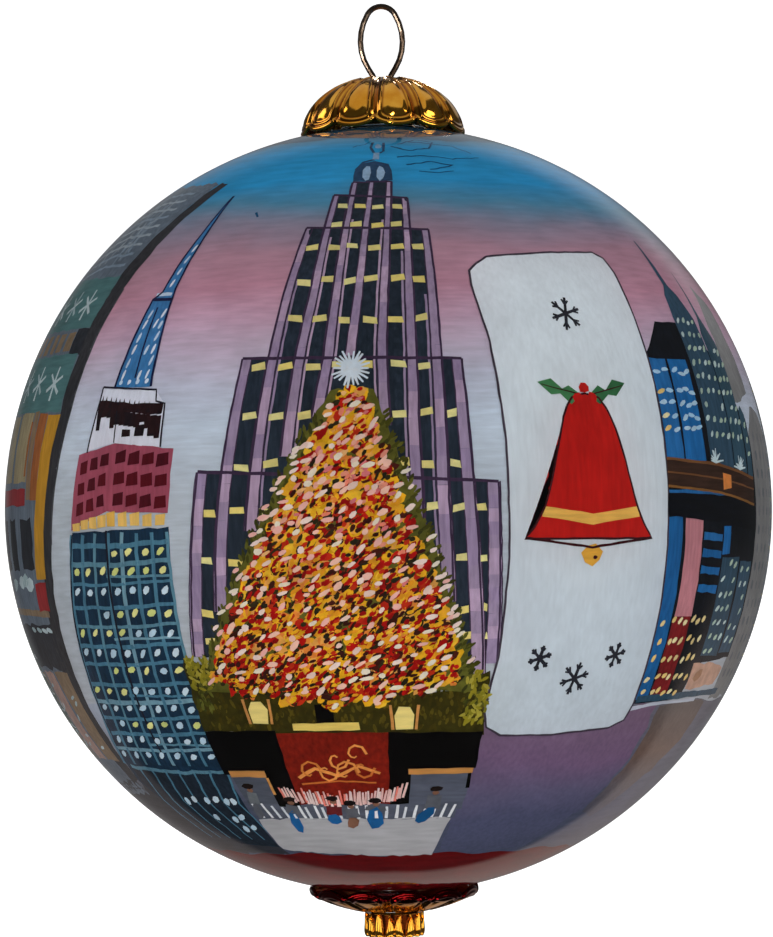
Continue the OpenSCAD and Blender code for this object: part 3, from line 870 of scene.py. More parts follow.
    spire = Picture("spire", 5, [(56, 112, 150), (48, 98, 142)], "up", 0.2)
    left = [(-43.7, 16.8), (-42.4, 24), (-41.2, 30.4), (-39.6, 31.6), (-38.9, 36), (-37.4, 42), (-36, 50.6)]
    right = [(-36.4, 16.6), (-36.6, 24), (-36.9, 30.2), (-37, 32), (-36.6, 37), (-36.1, 42), (-35.8, 50.6)]
    spire.shape(right + left[::-1], 0.06)
    navy = Picture("spire_line", 8, [(22, 26, 58)], "dab", 0.3)
    navy.stroke(left, 0.4, 0.3)
    navy.stroke(right, 0.4, 0.3)
    navy.stroke([(-41.4, 30.4), (-36.8, 30.2)], 0.5)
    navy.stroke([(-39.8, 18), (-39.4, 29)], 0.3)
    dashes = Picture("spire_dashes", 7, [(186, 206, 222), (206, 216, 226)], "dab", 0.06)
    for i in range(6):
        lat = 18.6 + 1.9 * i
        for base, top in ((-42.4, -40.5), (-37.4, -37.7), (-39, -38.6)):
            x = base + (top - base) * i / 5 + uniform(-0.15, 0.15)
            if base != -39 or i % 2 == 0:
                dashes.dab(x, lat + uniform(-0.3, 0.3), 1.7, 0.5, 72)
    for i in range(4):
        dashes.dab(-42.6 + 1.75 * i, 17.5, 0.9, 0.7, 60)
        dashes.dab(-38.3 + 0.42 * i, 33 + 2.1 * i, 1.6, 0.45, 74)
    dashes.stroke([(-40.8, 31.2), (-37.4, 31.1)], 0.6, 0.2)


# ---------------------------------------------------------------- the card with the bell

def paint_card():
    """A white card with rounded corners, a red bell and dark snow stars."""
    edge = [(15.6, 34.8), (17.6, 36), (29, 37.1), (40, 37.6), (42, 36.6), (42.8, 34), (42.6, 10), (42.8, -14),
        (43, -30), (42.4, -32.6), (39.6, -33.8), (28, -34.6), (18.4, -34.5), (15.6, -33), (14.8, -30),
        (16, -22), (16.6, -8), (16.4, 8), (15.4, 22), (13.9, 31), (14, 33.4)]
    card = Picture("card", 7, [(-34, (149, 156, 162)), (-18, (154, 161, 167)), (8, (166, 173, 178)),
        (34, (175, 181, 186))], "up", 0.05, True)
    card.shape(edge, 0.08)
    line = Picture("card_line", 8, [(52, 44, 54)], "up", 0.2)
    line.stroke(edge + [edge[0]], 0.32)

    bell = Picture("bell", 9, [(150, 20, 16)], "up", 0.12)
    centre, crown, lip = 29.2, 12.6, -5.6
    side = []
    for i in range(13):
        t = i / 12
        half = 3.2 + 3.6 * math.sin(t * math.pi / 2) ** 0.8 + 3.6 * t ** 5
        side.append((half, crown - (crown - lip) * t))
    outline = [(centre - half, y) for half, y in side] + [(centre + half, y) for half, y in side[::-1]]
    outline += [(centre + 2.2, crown + 1.3), (centre, crown + 1.8), (centre - 2.2, crown + 1.3)]
    bell.shape(outline, 0.06)
    ink = Picture("bell_line", 11, [(44, 14, 18)], "dab", 0.2)
    ink.stroke(outline + [outline[0]], 0.3)
    ink.stroke([(centre - 10.2, lip + 0.1), (centre, lip - 1.2), (centre + 10.2, lip + 0.1)], 0.36)
    gold = Picture("bell_gold", 10, [(190, 140, 50), (206, 164, 78)], "round", 0.14)
    gold.shape([(centre - 7.6, -1.2), (centre, -2.2), (centre + 7.6, -1.2), (centre + 7.9, -2.6),
        (centre, -3.7), (centre - 7.9, -2.6)], 0.06)
    gold.dab(centre, lip - 2.2, 3.4, 3, 0, 0.5)
    ink.dab(centre + 0.5, lip - 2.6, 0.8, 0.6, 0, 0.5)
    bow = Picture("bell_leaves", 11, [(40, 84, 52), (52, 100, 62)], "dab", 0.14)
    for way in (-1, 1):
        tip, root = centre + way * 7.4, centre + way * 0.6
        bow.shape([(root, 14.2), (root + way * 1.8, 15.6), (root + way * 3, 15), (root + way * 4.6, 16.6),
            (tip, 16), (root + way * 4.8, 14.2), (root + way * 3.4, 14.4), (root + way * 1.8, 12.9)], 0.08)
        ink.stroke([(root, 14.2), (tip - way * 0.6, 15.7)], 0.22, 0.3, lift=1)
    for x, y in ((centre, 15.2), (centre - 1.2, 13.8), (centre + 1.2, 13.9)):
        bell.dab(x, y, 1.7, 1.6, 0, 4)
    stars = Picture("card_stars", 9, [(30, 30, 36)], "dab", 0.15)
    for x, y, size in ((29, 26.5, 2.7), (22.6, -22.4, 1.9), (29.2, -25.6, 2.5), (35.8, -22.2, 1.9)):
        for i in range(6):
            turn = math.tau * i / 6 + 0.3
            stars.stroke([(x, y), polar(x, y, size, turn)], 0.5, 0.25, 0.03)
            for way in (-0.6, 0.6):
                root = polar(x, y, 0.55 * size, turn)
                stars.stroke([root, polar(*root, 0.36 * size, turn + way)], 0.34, 0.2, 0.02, 0.2)


# ---------------------------------------------------------------- a town block made from rules

def town(name, plots, level, walls, lights, line, rows_apart=2.3, columns_apart=2.0):
    """Houses side by side, each plot being (low lon, low lat, high lon, high lat, spire height)."""
    wall = Picture(name + "_walls", level, walls, "up", 0.22)
    ink = Picture(name + "_lines", level + 2, line, "up", 0.2)
    lit = Picture(name + "_windows", level + 3, lights, "dab", 0.12)
    for x0, y0, x1, y1, spire in plots:
        middle = (x0 + x1) / 2
        roof = [(x0, y0), (x1, y0), (x1, y1)]
        if spire:
            roof += [(x1 - 0.25 * (x1 - x0), y1 + spire * 0.25), (middle + 0.5, y1 + spire * 0.42),
                (middle, y1 + spire), (middle - 0.5, y1 + spire * 0.42), (x0 + 0.25 * (x1 - x0),
                y1 + spire * 0.25)]
        roof.append((x0, y1))
        wall.shape(roof, 0.12, rng.random())
        ink.stroke(roof[1:] + [roof[0]], 0.24)
        if spire:
            for t in (0.08, 0.17, 0.26):
                ink.stroke([(x0 + t * (x1 - x0), y1 + spire * t), (x1 - t * (x1 - x0), y1 + spire * t)], 0.2)
        columns = max(1, int((x1 - x0 - 0.6) / columns_apart))
        rows = max(1, int((y1 - y0 - 0.8) / rows_apart))
        for row in range(rows):
            for column in range(columns):
                if rng.random() < 0.78:
                    x = x0 + (x1 - x0) * (column + 0.5) / columns
                    y = y1 - 1.2 - (y1 - y0 - 1.2) * row / rows
                    lit.touch(x, y, (0.8, 1.25), (0.45, 0.65), (-15, 25))


def paint_far_right():
    """The harbour street at the right edge of the ball."""
    dark = Picture("quay_dark", 3, [(9, 12, 18)], "up", 0.4)
    dark.shape([(42.7, 20.6), (47.4, 25.9), (53, 26.2), (60, 22), (65, 13), (67.2, 12), (68, -4), (67.6, -23),
        (56, -24), (55, -29.6), (42.8, -29.9)], 0.15)
    blue = Picture("quay_blue", 4, [(24, 88, 142), (20, 76, 124), (28, 82, 130)], "up", 0.18)
    for x0, y0, x1, y1 in ((42.9, 5.4, 46.5, 20.1), (47, 5.2, 51.7, 20.1), (42.9, -29.4, 45.8, -2.6),
            (56.2, -7.8, 58.3, -3.8), (42.9, 0.4, 58, 1.2)):
        blue.box(x0, y0, x1, y1, 0.1, rng.random())
    for lat in (-5.2, -7.6, -10, -12.6):
        blue.stroke([(50.9, lat), (55.9, lat - 0.3)], 1.1)
    slate = Picture("quay_slate", 5, [(44, 68, 86), (36, 60, 76), (40, 64, 78)], "up", 0.22)
    slate.shape([(53, 4.5), (59.8, 4), (59.8, 27), (58.2, 31), (56.8, 32.6), (56.2, 41), (55.9, 41),
        (55.4, 32.6), (54, 30.8), (53, 27)], 0.08)
    slate.shape([(60.1, 4), (64.5, 3.6), (64.4, 23.4), (62.6, 27.4), (62.2, 35.6), (61.7, 27.6),
        (60.1, 24.6)], 0.08)
    slate.shape([(64.9, 3.4), (67, 3), (67, 12.6), (65.8, 13.8), (64.9, 13)], 0.1)
    slate.box(56.4, -22.8, 62, -8.2, 0.1)
    slate.box(62.6, -22.4, 67.2, -8.8, 0.1, 0.5)
    slate.stroke([(43.4, -29.3), (56, -28.9), (70, -28.6)], 1, lift=2)
    pale = Picture("quay_panes", 8, [(146, 164, 146), (160, 176, 172), (134, 152, 140)], "dab", 0.12)
    blocks = [((54, 55.7, 57.4, 59), 26.4, 9), ((61, 62.5, 63.9), 22, 7), ((65.9,), 11, 3),
        ((57.3, 59.1, 60.9), -9.2, 7), ((63.6, 65.9), -9.8, 6)]
    for columns, top, rows in blocks:
        for row in range(rows):
            for x in columns:
                if rng.random() < 0.92:
                    pale.touch(x + uniform(-0.25, 0.25), top - 2.15 * row + uniform(-0.2, 0.2), (1, 1.5),
                        (0.55, 0.8), (20, 60))
    icy = Picture("quay_icy", 8, [(170, 200, 216), (150, 186, 208)], "dab", 0.1)
    warm = Picture("quay_warm", 8, [(202, 184, 128), (190, 164, 100), (206, 196, 150)], "dab", 0.12)
    for lat in (18.2, 15.4, 13.5, 11.6, 9.8):
        for x in (43.8, 45.7, 48.1, 49.6, 51):
            marks = warm if x < 44 and lat < 16 and lat != 13.5 else icy
            marks.dab(x, lat + uniform(-0.3, 0.3), 1.7, 0.7, uniform(-5, 35))
    for lat in (-17.4, -20.2, -23.1, -25.9, -28.2):
        for x in (44.2, 46.6, 47.9, 49.4, 51.3, 52.7, 54.2):
            if x < 54 or lat > -27:
                warm.dab(x + uniform(-0.2, 0.2), lat + uniform(-0.3, 0.3), uniform(1.1, 1.5), 0.75,
                    uniform(30, 65))
    mill = Picture("quay_mill", 4, [(104, 20, 22)], "up", 0.3)
    mill.box(46.2, -29.2, 50.4, -16.8, 0.12)
    blush = Picture("blush", 4, [(156, 102, 108)], "up", 0.12)
    blush.box(46.5, -16.8, 50.5, -2.8, 0.1)
    sheds = Picture("quay_sheds", 6, [(140, 102, 76), (156, 122, 104)], "dab", 0.16)
    sheds.shape([(55.4, -28), (66, -27.4), (66.6, -24.6), (60, -23.8), (55.4, -24)], 0.3)
    for x in (58, 60.6, 64):
        sheds.dab(x, -25.8, 2.6, 2, 30, 0.8)
    beam = Picture("beam", 9, [(34, 20, 16), (44, 28, 20)], "round", 0.3)
    beam.shape([(42.6, 1.8), (55, 1), (66.8, -0.6), (67, 3.4), (55, 5), (42.6, 5.5)], 0.12)
    black = Picture("beam_black", 9, [(6, 8, 14)], "round", 0.4)
    black.shape([(42.7, -2.5), (56, -3.4), (67.4, -4.6), (67.2, -1), (58, 0.4), (42.7, 0.7)], 0.12)
    brass = Picture("beam_brass", 11, [(116, 78, 38), (98, 62, 34)], "round", 0.2)
    brass.stroke([(42.7, 5.5), (55, 4.9), (66.8, 3.2)], 0.4)
    brass.stroke([(42.7, 3.6), (55, 2.9), (66.8, 1.6)], 0.24)
    brass.stroke([(42.7, 1.7), (55, 0.9), (66.8, -0.6)], 0.34)
    lamp = Picture("beam_lamp", 11.5, [(186, 112, 54)], "dab", 0.15)
    lamp.box(55.8, 1.5, 58.4, 3.6, 0.2)
    frost = Picture("frost", 12, [(170, 186, 190)], "dab", 0.08)
    for cx, cy in ((54.2, 5.2), (61.6, 4.4)):
        for i in range(14):
            turn = uniform(0.1, 3.0)
            reach = uniform(0.8, 2)
            frost.stroke([(cx, cy), (cx + 1.2 * reach * math.cos(turn), cy + reach * math.sin(turn))], 0.36,
                0.5)
    mist = Picture("quay_mist", 2, [(110, 109, 109), (120, 118, 116)], "up", 0.16)
    mist.shape([(67.4, -29.6), (80, -29.6), (80, 8), (76, 13), (71, 14), (67, 9)], 0.4)
    mist.shape([(64, 14), (72, 16), (72, 30), (68, 33), (65, 26)], 0.4, 0.5)
    faint = Picture("mist_windows", 5, [(84, 86, 90), (92, 92, 94)], "dab", 0.1)
    for i in range(14):
        for x in (69.6, 72.2, 74.8, 77.4):
            faint.dab(x, 9.4 - 2.7 * i, 1.5, 1.2, 90)


# ---------------------------------------------------------------- the street on the left

def paint_street():
    """The shop street at the left edge of the ball."""
    edge = Picture("street_edge", 4, [(46, 46, 50), (58, 58, 62)], "up", 0.3)
    right = [(-42, 54.2), (-47.4, 43.4), (-48.6, 39), (-50.6, 33), (-52.2, 25), (-53.8, 12), (-55.4, 4),
        (-57, -5), (-58.2, -12), (-59.3, -19), (-60.4, -28), (-60.2, -35), (-61, -43)]
    left = [(-64.8, -44), (-65, -34), (-64.8, -27), (-63, -19), (-60.8, -10), (-58.4, 2), (-56.4, 14),
        (-55.6, 27), (-54, 36), (-51.4, 43), (-47, 52), (-45, 55)]
    edge.shape(right + left, 0.25)
    edge.stroke([(-57, -5), (-55.4, 4), (-53.8, 12), (-52.2, 25), (-50.6, 33)], 0.5, 0.3)
    backs = Picture("street_back", 2, [(82, 92, 104)], "up", 0.22)
    backs.shape([(-46, 55), (-52, 40), (-56, 14), (-60, -10), (-62, -46), (-100, -46), (-100, 40), (-88, 48),
        (-70, 56)], 0.5)
    floors = Picture("street_floors", 4, [(128, 138, 146), (104, 118, 132)], "up", 0.14)
    for i in range(9):
        lat = 53 - 1.9 * i
        floors.stroke([(-52.4 - 0.35 * i, lat), (-64, lat + 0.3), (-80, lat - 2)], 0.55, 0.2, 0.2)
    for i in range(26):
        x = uniform(-72, -57)
        floors.stroke([(x, uniform(38, 53)), (x - 1.6, uniform(38, 53))], 0.35, 0.4)
    panels = Picture("street_panels", 4, [(66, 100, 102), (56, 90, 94)], "round", 0.16)
    panels.shape([(-54, 35.6), (-55.4, 26.8), (-84, 27.4), (-84, 36.6)], 0.2)
    panels.shape([(-56.2, 22.8), (-56.6, 14), (-88, 15), (-88, 23.4)], 0.2)
    cream = Picture("street_cream", 5, [(128, 118, 92), (112, 94, 74), (138, 112, 104)], "up", 0.2)
    for x, wide in ((-59.6, 2.6), (-63.4, 2.2), (-66.6, 1.6), (-70, 2.4), (-74, 2), (-78, 2.6)):
        cream.box(x - wide, 23.4, x, 26.5, 0.12, rng.random())
    cream.box(-65.6, 1.6, -63.9, 14.4, 0.1, 0.3)
    cream.box(-72.6, 4.2, -66, 14.4, 0.15, 0.6)
    cream.box(-81, 4.4, -74, 14.2, 0.15, 0.9)
    cream.stroke([(-61.6, -15.1), (-70, -14.8), (-84, -14.4)], 1)
    for x in (-62.8, -69.4, -76):
        cream.shape([(x, -24), (x - 5.6, -23.8), (x - 5.4, -39), (x + 0.2, -39.2)], 0.2, rng.random())
    marks = Picture("street_marks", 7, [(132, 150, 154), (150, 164, 168)], "dab", 0.1)
    for x, y in ((-60.6, 31), (-67, 31.2), (-74, 31), (-61, 18.4), (-68, 18.8), (-75, 18.8)):
        for i in range(3):
            turn = math.pi * i / 3 + 0.4
            dx, dy = 2.6 * math.cos(turn), 2.6 * math.sin(turn)
            marks.stroke([(x - dx, y - dy), (x + dx, y + dy)], 0.55, 0.3)
    for x in (-67, -69, -71, -76):
        marks.dab(x, -10.4 + uniform(-0.5, 0.5), 3.6, 2, 10, rng.random())
    for x in (-63.4, -65.4, -68, -71):
        marks.dab(x, -17.6 + uniform(-0.3, 0.3), 2.2, 0.8, -10)
    for i in range(18):
        marks.dab(uniform(-80, -65), uniform(-37, -26), 1.6, 0.6, uniform(0, 60))
    awning = Picture("street_awnings", 6, [(164, 124, 34), (150, 110, 32)], "up", 0.16)
    awning.shape([(-56.3, 13.6), (-58.2, 2), (-60.2, -10), (-63.6, -10), (-61.6, 1), (-60.2, 13.8)], 0.12)
    orange = Picture("street_orange", 6, [(136, 86, 42), (122, 72, 38)], "up", 0.18)
    orange.shape([(-60.4, 13.9), (-61.5, 1.4), (-63.9, 1.4), (-63.6, 14.2)], 0.12)
    orange.stroke([(-66.2, 13), (-66.6, 5)], 0.7)
    red = Picture("street_red", 6, [(128, 34, 36), (110, 30, 34)], "up", 0.16)
    red.shape([(-66, 3.2), (-66, 0.8), (-84, 1), (-84, 3.6)], 0.2)
    red.shape([(-60.6, -10.3), (-61, -14.6), (-65.2, -14.6), (-64.6, -10.5)], 0.15)
    shade = Picture("street_shade", 3, [(34, 36, 42)], "up", 0.3)
    shade.box(-59.4, 22.6, -55, 26.8, 0.2)
    shade.shape([(-61.6, -16.4), (-62, -23.6), (-84, -23), (-84, -17)], 0.4, 1)
    for x, wide in ((-63.6, 5), (-71, 4), (-77, 4)):
        shade.box(x - wide, -8.4, x, -1.2, 0.3, 1)


# ---------------------------------------------------------------- the far side: river and park

def paint_far_side():
    """The back of the ball, which the front never shows."""
    river = Picture("river", 2, [(52, 84, 116)], "round", 0.22)
    river.shape([(96, -32), (96, -18), (118, -16), (150, -17), (186, -16), (216, -18), (216, -34), (180, -38),
        (130, -37)], 0.4)
    ripple = Picture("ripples", 4, [(110, 146, 172), (196, 180, 110), (86, 120, 150)], "round", 0.1)
    for i in range(190):
        x, y = uniform(99, 212), uniform(-34, -18)
        ripple.stroke([(x, y), (x + uniform(1.5, 4.5), y + uniform(-0.2, 0.2))], 0.34, 0.6)
    far = [(79, -30, 86, 18, 0), (86, -30, 91, 2, 0), (91, -30, 97, 24, 16), (97, -18, 103, 6, 0),
        (103, -17, 109, 14, 0), (109, -17, 114, -2, 5)]
    town("uptown", far, 4, [(44, 60, 78), (76, 44, 58), (58, 74, 96), (40, 46, 60)],
        [(210, 192, 96), (196, 204, 210)], [(24, 26, 36)])
    town("downtown", [(188, -17, 194, 2, 0), (194, -17, 199, 12, 8), (199, -17, 207, -3, 0),
        (207, -18, 213, 16, 0), (213, -30, 220, 6, 12)], 4, [(62, 58, 84), (38, 56, 76), (82, 62, 62),
        (46, 50, 66)], [(212, 196, 104), (200, 206, 212)], [(24, 26, 36)])
    # A suspension bridge across the river.
    stone = Picture("bridge_towers", 6, [(120, 92, 74), (108, 84, 70)], "up", 0.2)
    steel = Picture("bridge_cables", 8, [(44, 48, 60)], "round", 0.2)
    deck_lat, top_lat, towers = -11, 12, (130, 172)
    for x in towers:
        stone.shape([(x - 3.4, -24), (x + 3.4, -24), (x + 3, top_lat), (x - 3, top_lat)], 0.12)
        stone.box(x - 3.6, top_lat, x + 3.6, top_lat + 1.4, 0.1)
        for side in (-1.35, 1.35):
            steel.shape([(x + side - 0.8, -9), (x + side - 0.8, 5), (x + side, 8), (x + side + 0.8, 5),
                (x + side + 0.8, -9)], 0.06)

    def cable(x):
        """Height of the main cable: it hangs between the towers and runs down to each bank."""
        if towers[0] <= x <= towers[1]:
            t = (x - towers[0]) / (towers[1] - towers[0]) * 2 - 1
            return deck_lat + 2 + (top_lat - deck_lat - 2) * t * t
        away = min(abs(x - towers[0]), abs(x - towers[1])) / 24
        return top_lat - (top_lat - deck_lat) * min(away, 1) ** 0.8

    steel.stroke([(106 + i * 2, cable(106 + i * 2)) for i in range(46)], 0.6)
    steel.stroke([(104, deck_lat), (150, deck_lat + 0.8), (198, deck_lat)], 1.3)
    for i in range(44):
        x = 108 + i * 2
        steel.stroke([(x, cable(x)), (x, deck_lat)], 0.22)
    lamps = Picture("bridge_lamps", 10, [(222, 200, 110), (226, 214, 150)], "dab", 0.06)
    for i in range(24):
        x = 106 + i * 4
        lamps.dab(x, cable(x) + 0.5, 0.9, 0.8, 0)
        lamps.dab(x + 1, deck_lat + 1, 0.7, 0.6, 0)
    moon = Picture("moon", 3, [(190, 184, 150)], "dab", 0.12)
    moon.shape([(150 + 5.4 * math.cos(i * math.tau / 24),
        40 + 4.6 * math.sin(i * math.tau / 24)) for i in range(24)], 0.08)
    # A snowy park with firs, and a row of houses behind it.
    snow = Picture("snow", 5, [(170, 174, 182)], "round", 0.08)
    snow.shape([(222, -28), (236, -24), (254, -26), (266, -24), (279, -28), (281, -44), (262, -58),
        (224, -56)], 0.5)
    snow.shape([(110, -58), (112, -40), (140, -37), (176, -38), (206, -36), (212, -58)], 0.5)
    firs = Picture("firs", 7, [(34, 66, 50), (46, 80, 58), (28, 56, 46)], "dab", 0.2)
    caps = Picture("fir_snow", 9, [(184, 190, 196)], "dab", 0.06)
    for x, y, high in ((228, -36, 15), (236, -30, 20), (243, -38, 13), (251, -31, 24), (258, -39, 14),
            (266, -33, 19), (274, -38, 13), (281, -34, 17), (122, -50, 10), (134, -48, 12), (196, -50, 12),
            (204, -46, 9), (160, -52, 8)):
        for tier in range(5):
            base = y + high * tier * 0.17
            half = high * 0.24 * (1 - tier * 0.17)
            firs.shape([(x - half, base), (x, base - 0.6), (x + half, base), (x, base + high * 0.34)], 0.25,
                0.2 * tier)
            caps.stroke([(x - half * 0.9, base + 0.5), (x - half * 0.3, base + 1.3), (x, base + 1.2)], 0.5,
                0.3)
            caps.stroke([(x + half * 0.2, base + 1), (x + half * 0.85, base + 0.5)], 0.42, 0.4)
    houses = [(222, -27, 229, -6, 0), (229, -26, 236, 2, 0), (236, -25, 243, -4, 5), (243, -25, 250, 8, 0),
        (250, -26, 257, -8, 0), (257, -26, 264, 0, 6), (264, -25, 271, 12, 0), (271, -27, 279, -5, 0)]
    town("rowhouse", houses, 3, [(104, 52, 48), (84, 44, 46), (120, 84, 66), (70, 66, 80)],
        [(216, 196, 104), (222, 206, 140)], [(30, 22, 28)], 3, 2.1)
    flakes = Picture("snowfall", 11, [(214, 218, 222)], "dab", 0.04)
    for i in range(240):
        flakes.dab(uniform(78, 276), uniform(-50, 62), uniform(0.35, 0.8), 0.4, uniform(0, 180), rng.random())


# ---------------------------------------------------------------- glass and hardware

def revolved(name, outline_at, columns):
    """A closed surface round the ornament's axis. outline_at(turn) gives its outline at a turn in
    degrees as (radius, z, tone) points in metres, always the same number of them."""
    verts, faces, tones = [], [], []
    for k in range(columns):
        turn = 360 * k / columns
        across, ahead = math.cos(math.radians(turn)), math.sin(math.radians(turn))
        outline = outline_at(turn)
        verts += [(r * across, r * ahead, z) for r, z, tone in outline]
        tones += [tone for r, z, tone in outline]
    count = len(verts) // columns
    for k in range(columns):
        here, there = k * count, (k + 1) % columns * count
        for i in range(count):
            j = (i + 1) % count
            faces.append((here + i, there + i, there + j, here + j))
    piece = add_mesh(name, verts, faces)
    piece.data.attributes.new("tone", "FLOAT", "POINT").data.foreach_set("value", tones)
    tidy = bmesh.new()
    tidy.from_mesh(piece.data)
    bmesh.ops.remove_doubles(tidy, verts=tidy.verts[:], dist=1e-7)
    bmesh.ops.recalc_face_normals(tidy, faces=tidy.faces[:])
    tidy.to_mesh(piece.data)
    tidy.free()
    return piece


def arc(centre_r, centre_z, radius, start, end, steps):
    """Points of (radius, z) along an arc, with angles in degrees from straight out."""
    return [polar(centre_r, centre_z, radius,
        math.radians(start + (end - start) * i / steps)) for i in range(steps + 1)]


def make_glass():
    """The blown ball: a thick clear wall, with a fire-polished neck and a drawn-off nib."""
    inner_r = PAINT_R - 0.08 * MM
    neck_r, bore_r, blend = 5.5 * MM, 4.5 * MM, 0.5 * MM
    lip_z = glass_high[2]
    nib_r, nib_z = 2.3 * MM, glass_low[2]
    shoulder = math.degrees(math.acos((neck_r + blend) / GLASS_R))
    tail = math.degrees(math.acos((nib_r + blend) / GLASS_R))
    throat = math.degrees(math.acos(bore_r / inner_r))
    outline = [(0, nib_z), (nib_r - blend, nib_z)]
    outline += arc(nib_r - blend, nib_z + blend, blend, -80, 0, 4)
    outline += arc(0, CENTRE_Z, GLASS_R, -tail, shoulder, 150)
    outline += [(neck_r, CENTRE_Z + GLASS_R * math.sin(math.radians(shoulder)) + blend)]
    outline += arc((neck_r + bore_r) / 2, lip_z - 0.5 * MM, 0.5 * MM, 0, 180, 8)
    outline += arc(0, CENTRE_Z, inner_r, throat, -90, 110)
    outline = [(r, z, 0) for r, z in outline]
    glass = revolved("glass_wall", lambda turn: outline, 288)
    glass.data.materials.append(clear_glass())
    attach(glass, "ball")
    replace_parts(glass, "glass_ball")


PETALS = 12
PETAL_TURN = -5.5     # degrees from +X to the first valley between two petals
SHEET = 0.32 * MM     # thickness of the stamped metal
FLUTES = 16


def hump(distance, centre, width):
    """A smooth rise to 1 at centre, about width wide."""
    return math.exp(-((distance - centre) / width) ** 2)


def across_petal(turn):
    """0 on a petal's middle line and 1 in a valley between two petals."""
    return abs((turn - PETAL_TURN) % (360 / PETALS) / (180 / PETALS) - 1)


def relief(across, radius, from_lip, from_middle):
    """The stamping at a place: how far it stands out and how tarnished it is, from 0 to 1. There are
    valleys between the petals, a raised line inside each petal's edge, a swelling panel inside that
    and a rolled lip. All distances are in metres."""
    from_valley = (1 - across) * math.pi / PETALS * radius
    edge = sum(max(d, 0.02 * MM) ** -3 for d in (from_valley, from_lip, from_middle)) ** (-1 / 3)
    start = min(max(from_middle / MM, 0), 1)
    valley = hump(from_valley, 0, 0.2 * MM) * start
    line = hump(edge, 0.56 * MM, 0.14 * MM)
    panel = min(max(edge / MM - 0.74, 0), 0.5)
    lip = hump(from_lip, 0.1 * MM, 0.25 * MM)
    stand = (0.16 * line + 0.3 * panel + 0.22 * lip - 0.26 * valley) * MM
    tone = max(0.9 * hump(edge, 0.4 * MM, 0.12 * MM), 0.8 * hump(edge, 0.74 * MM, 0.1 * MM), 0.85 * valley)
    return stand, tone


def stamped(name, curve, side, scallop, petals_from, rim=0.0, columns=432, rows=96):
    """Sheet metal stamped with petals. curve(t) is its outside as (radius, z) from its middle at 0
    to its lip at 1, with the outside on the left of the way there where side is 1 and on the right
    where it is -1. Between petals the lip is shorter by the part scallop of the curve, and within
    rim of the lip the tone is full, fading out by twice rim, for a painted reflection in the second colour."""

    def outline_at(turn):
        across = across_petal(turn)
        end = 1 - scallop * (1 - math.sqrt(1 - (0.98 * across) ** 2)) / 0.8
        path = [curve(end * i / rows) for i in range(rows + 1)]
        outside, inside = [], []
        from_lip = sum(math.dist(a, b) for a, b in zip(path, path[1:]))
        from_middle = -petals_from
        for i, (r, z) in enumerate(path):
            (r0, z0), (r1, z1) = path[max(i - 1, 0)], path[min(i + 1, rows)]
            length = math.hypot(r1 - r0, z1 - z0)
            normal_r, normal_z = -side * (z1 - z0) / length, side * (r1 - r0) / length
            stand, tone = relief(across, r, from_lip, from_middle)
            # Within rim of the lip the tone goes to 1: the dish's painted dark red reflection of the band on
            # the glass.
            if rim:
                tone = max(tone * 0.6, min(max(2 - from_lip / rim, 0), 1))
            outside.append((r + normal_r * stand, z + normal_z * stand, tone))
            inside.append((r + normal_r * (stand - SHEET), z + normal_z * (stand - SHEET), 0.3))
            if i < rows:
                step = math.dist(path[i], path[i + 1])
                from_lip -= step
                from_middle += step
        edge = []
        for a in (math.pi / 4, math.pi / 2, 3 * math.pi / 4):
            out, on = SHEET / 2 * (math.cos(a) - 1), SHEET / 2 * math.sin(a)
            edge.append((outside[-1][0] + normal_r * out + side * normal_z * on,
                outside[-1][1] + normal_z * out - side * normal_r * on, outside[-1][2]))
        return outside + edge + inside[::-1][::4]

    return revolved(name, outline_at, columns)


def drill(piece, places, radius, low, high):
    """Round holes straight down through a piece, at (x, y) places between two heights."""
    for x, y in places:
        mesh = bpy.data.meshes.new("drill")
        bit = bmesh.new()
        bmesh.ops.create_cone(bit, cap_ends=True, segments=32, radius1=radius, radius2=radius,
            depth=high - low, matrix=Matrix.Translation((x, y, (low + high) / 2)))
        bit.to_mesh(mesh)
        bit.free()
        cutter = add_object("drill", mesh)
        cut = piece.modifiers.new("hole", "BOOLEAN")
        cut.object, cut.operation, cut.solver = cutter, "DIFFERENCE", "MANIFOLD"
        bpy.context.view_layer.update()
        piece.data = bpy.data.meshes.new_from_object(piece.evaluated_get(
            bpy.context.evaluated_depsgraph_get()))
        piece.modifiers.clear()
        bpy.data.objects.remove(cutter)
    piece.data.set_sharp_from_angle(angle=math.radians(50))


def make_top_cap():
    """The stamped dome of petals, with two holes for the wire."""
    low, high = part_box("top_cap")
    lip_z = low[2] + SHEET / 2
    reach, rise = (high[0] - low[0]) / 2 - 0.15 * MM, high[2] - lip_z

    def dome(t):
        a = math.pi / 2 * t
        return reach * math.sin(a), lip_z + rise * math.cos(a)

    cap = stamped("cap_petals", dome, 1, 0.08, 2.3 * MM)
    wire_x, hole_r = 0.9 * MM, 0.62 * MM
    drill(cap, [(-wire_x, 0), (wire_x, 0)], hole_r, high[2] - 1.5 * MM, high[2] + 1.5 * MM)
    return cap


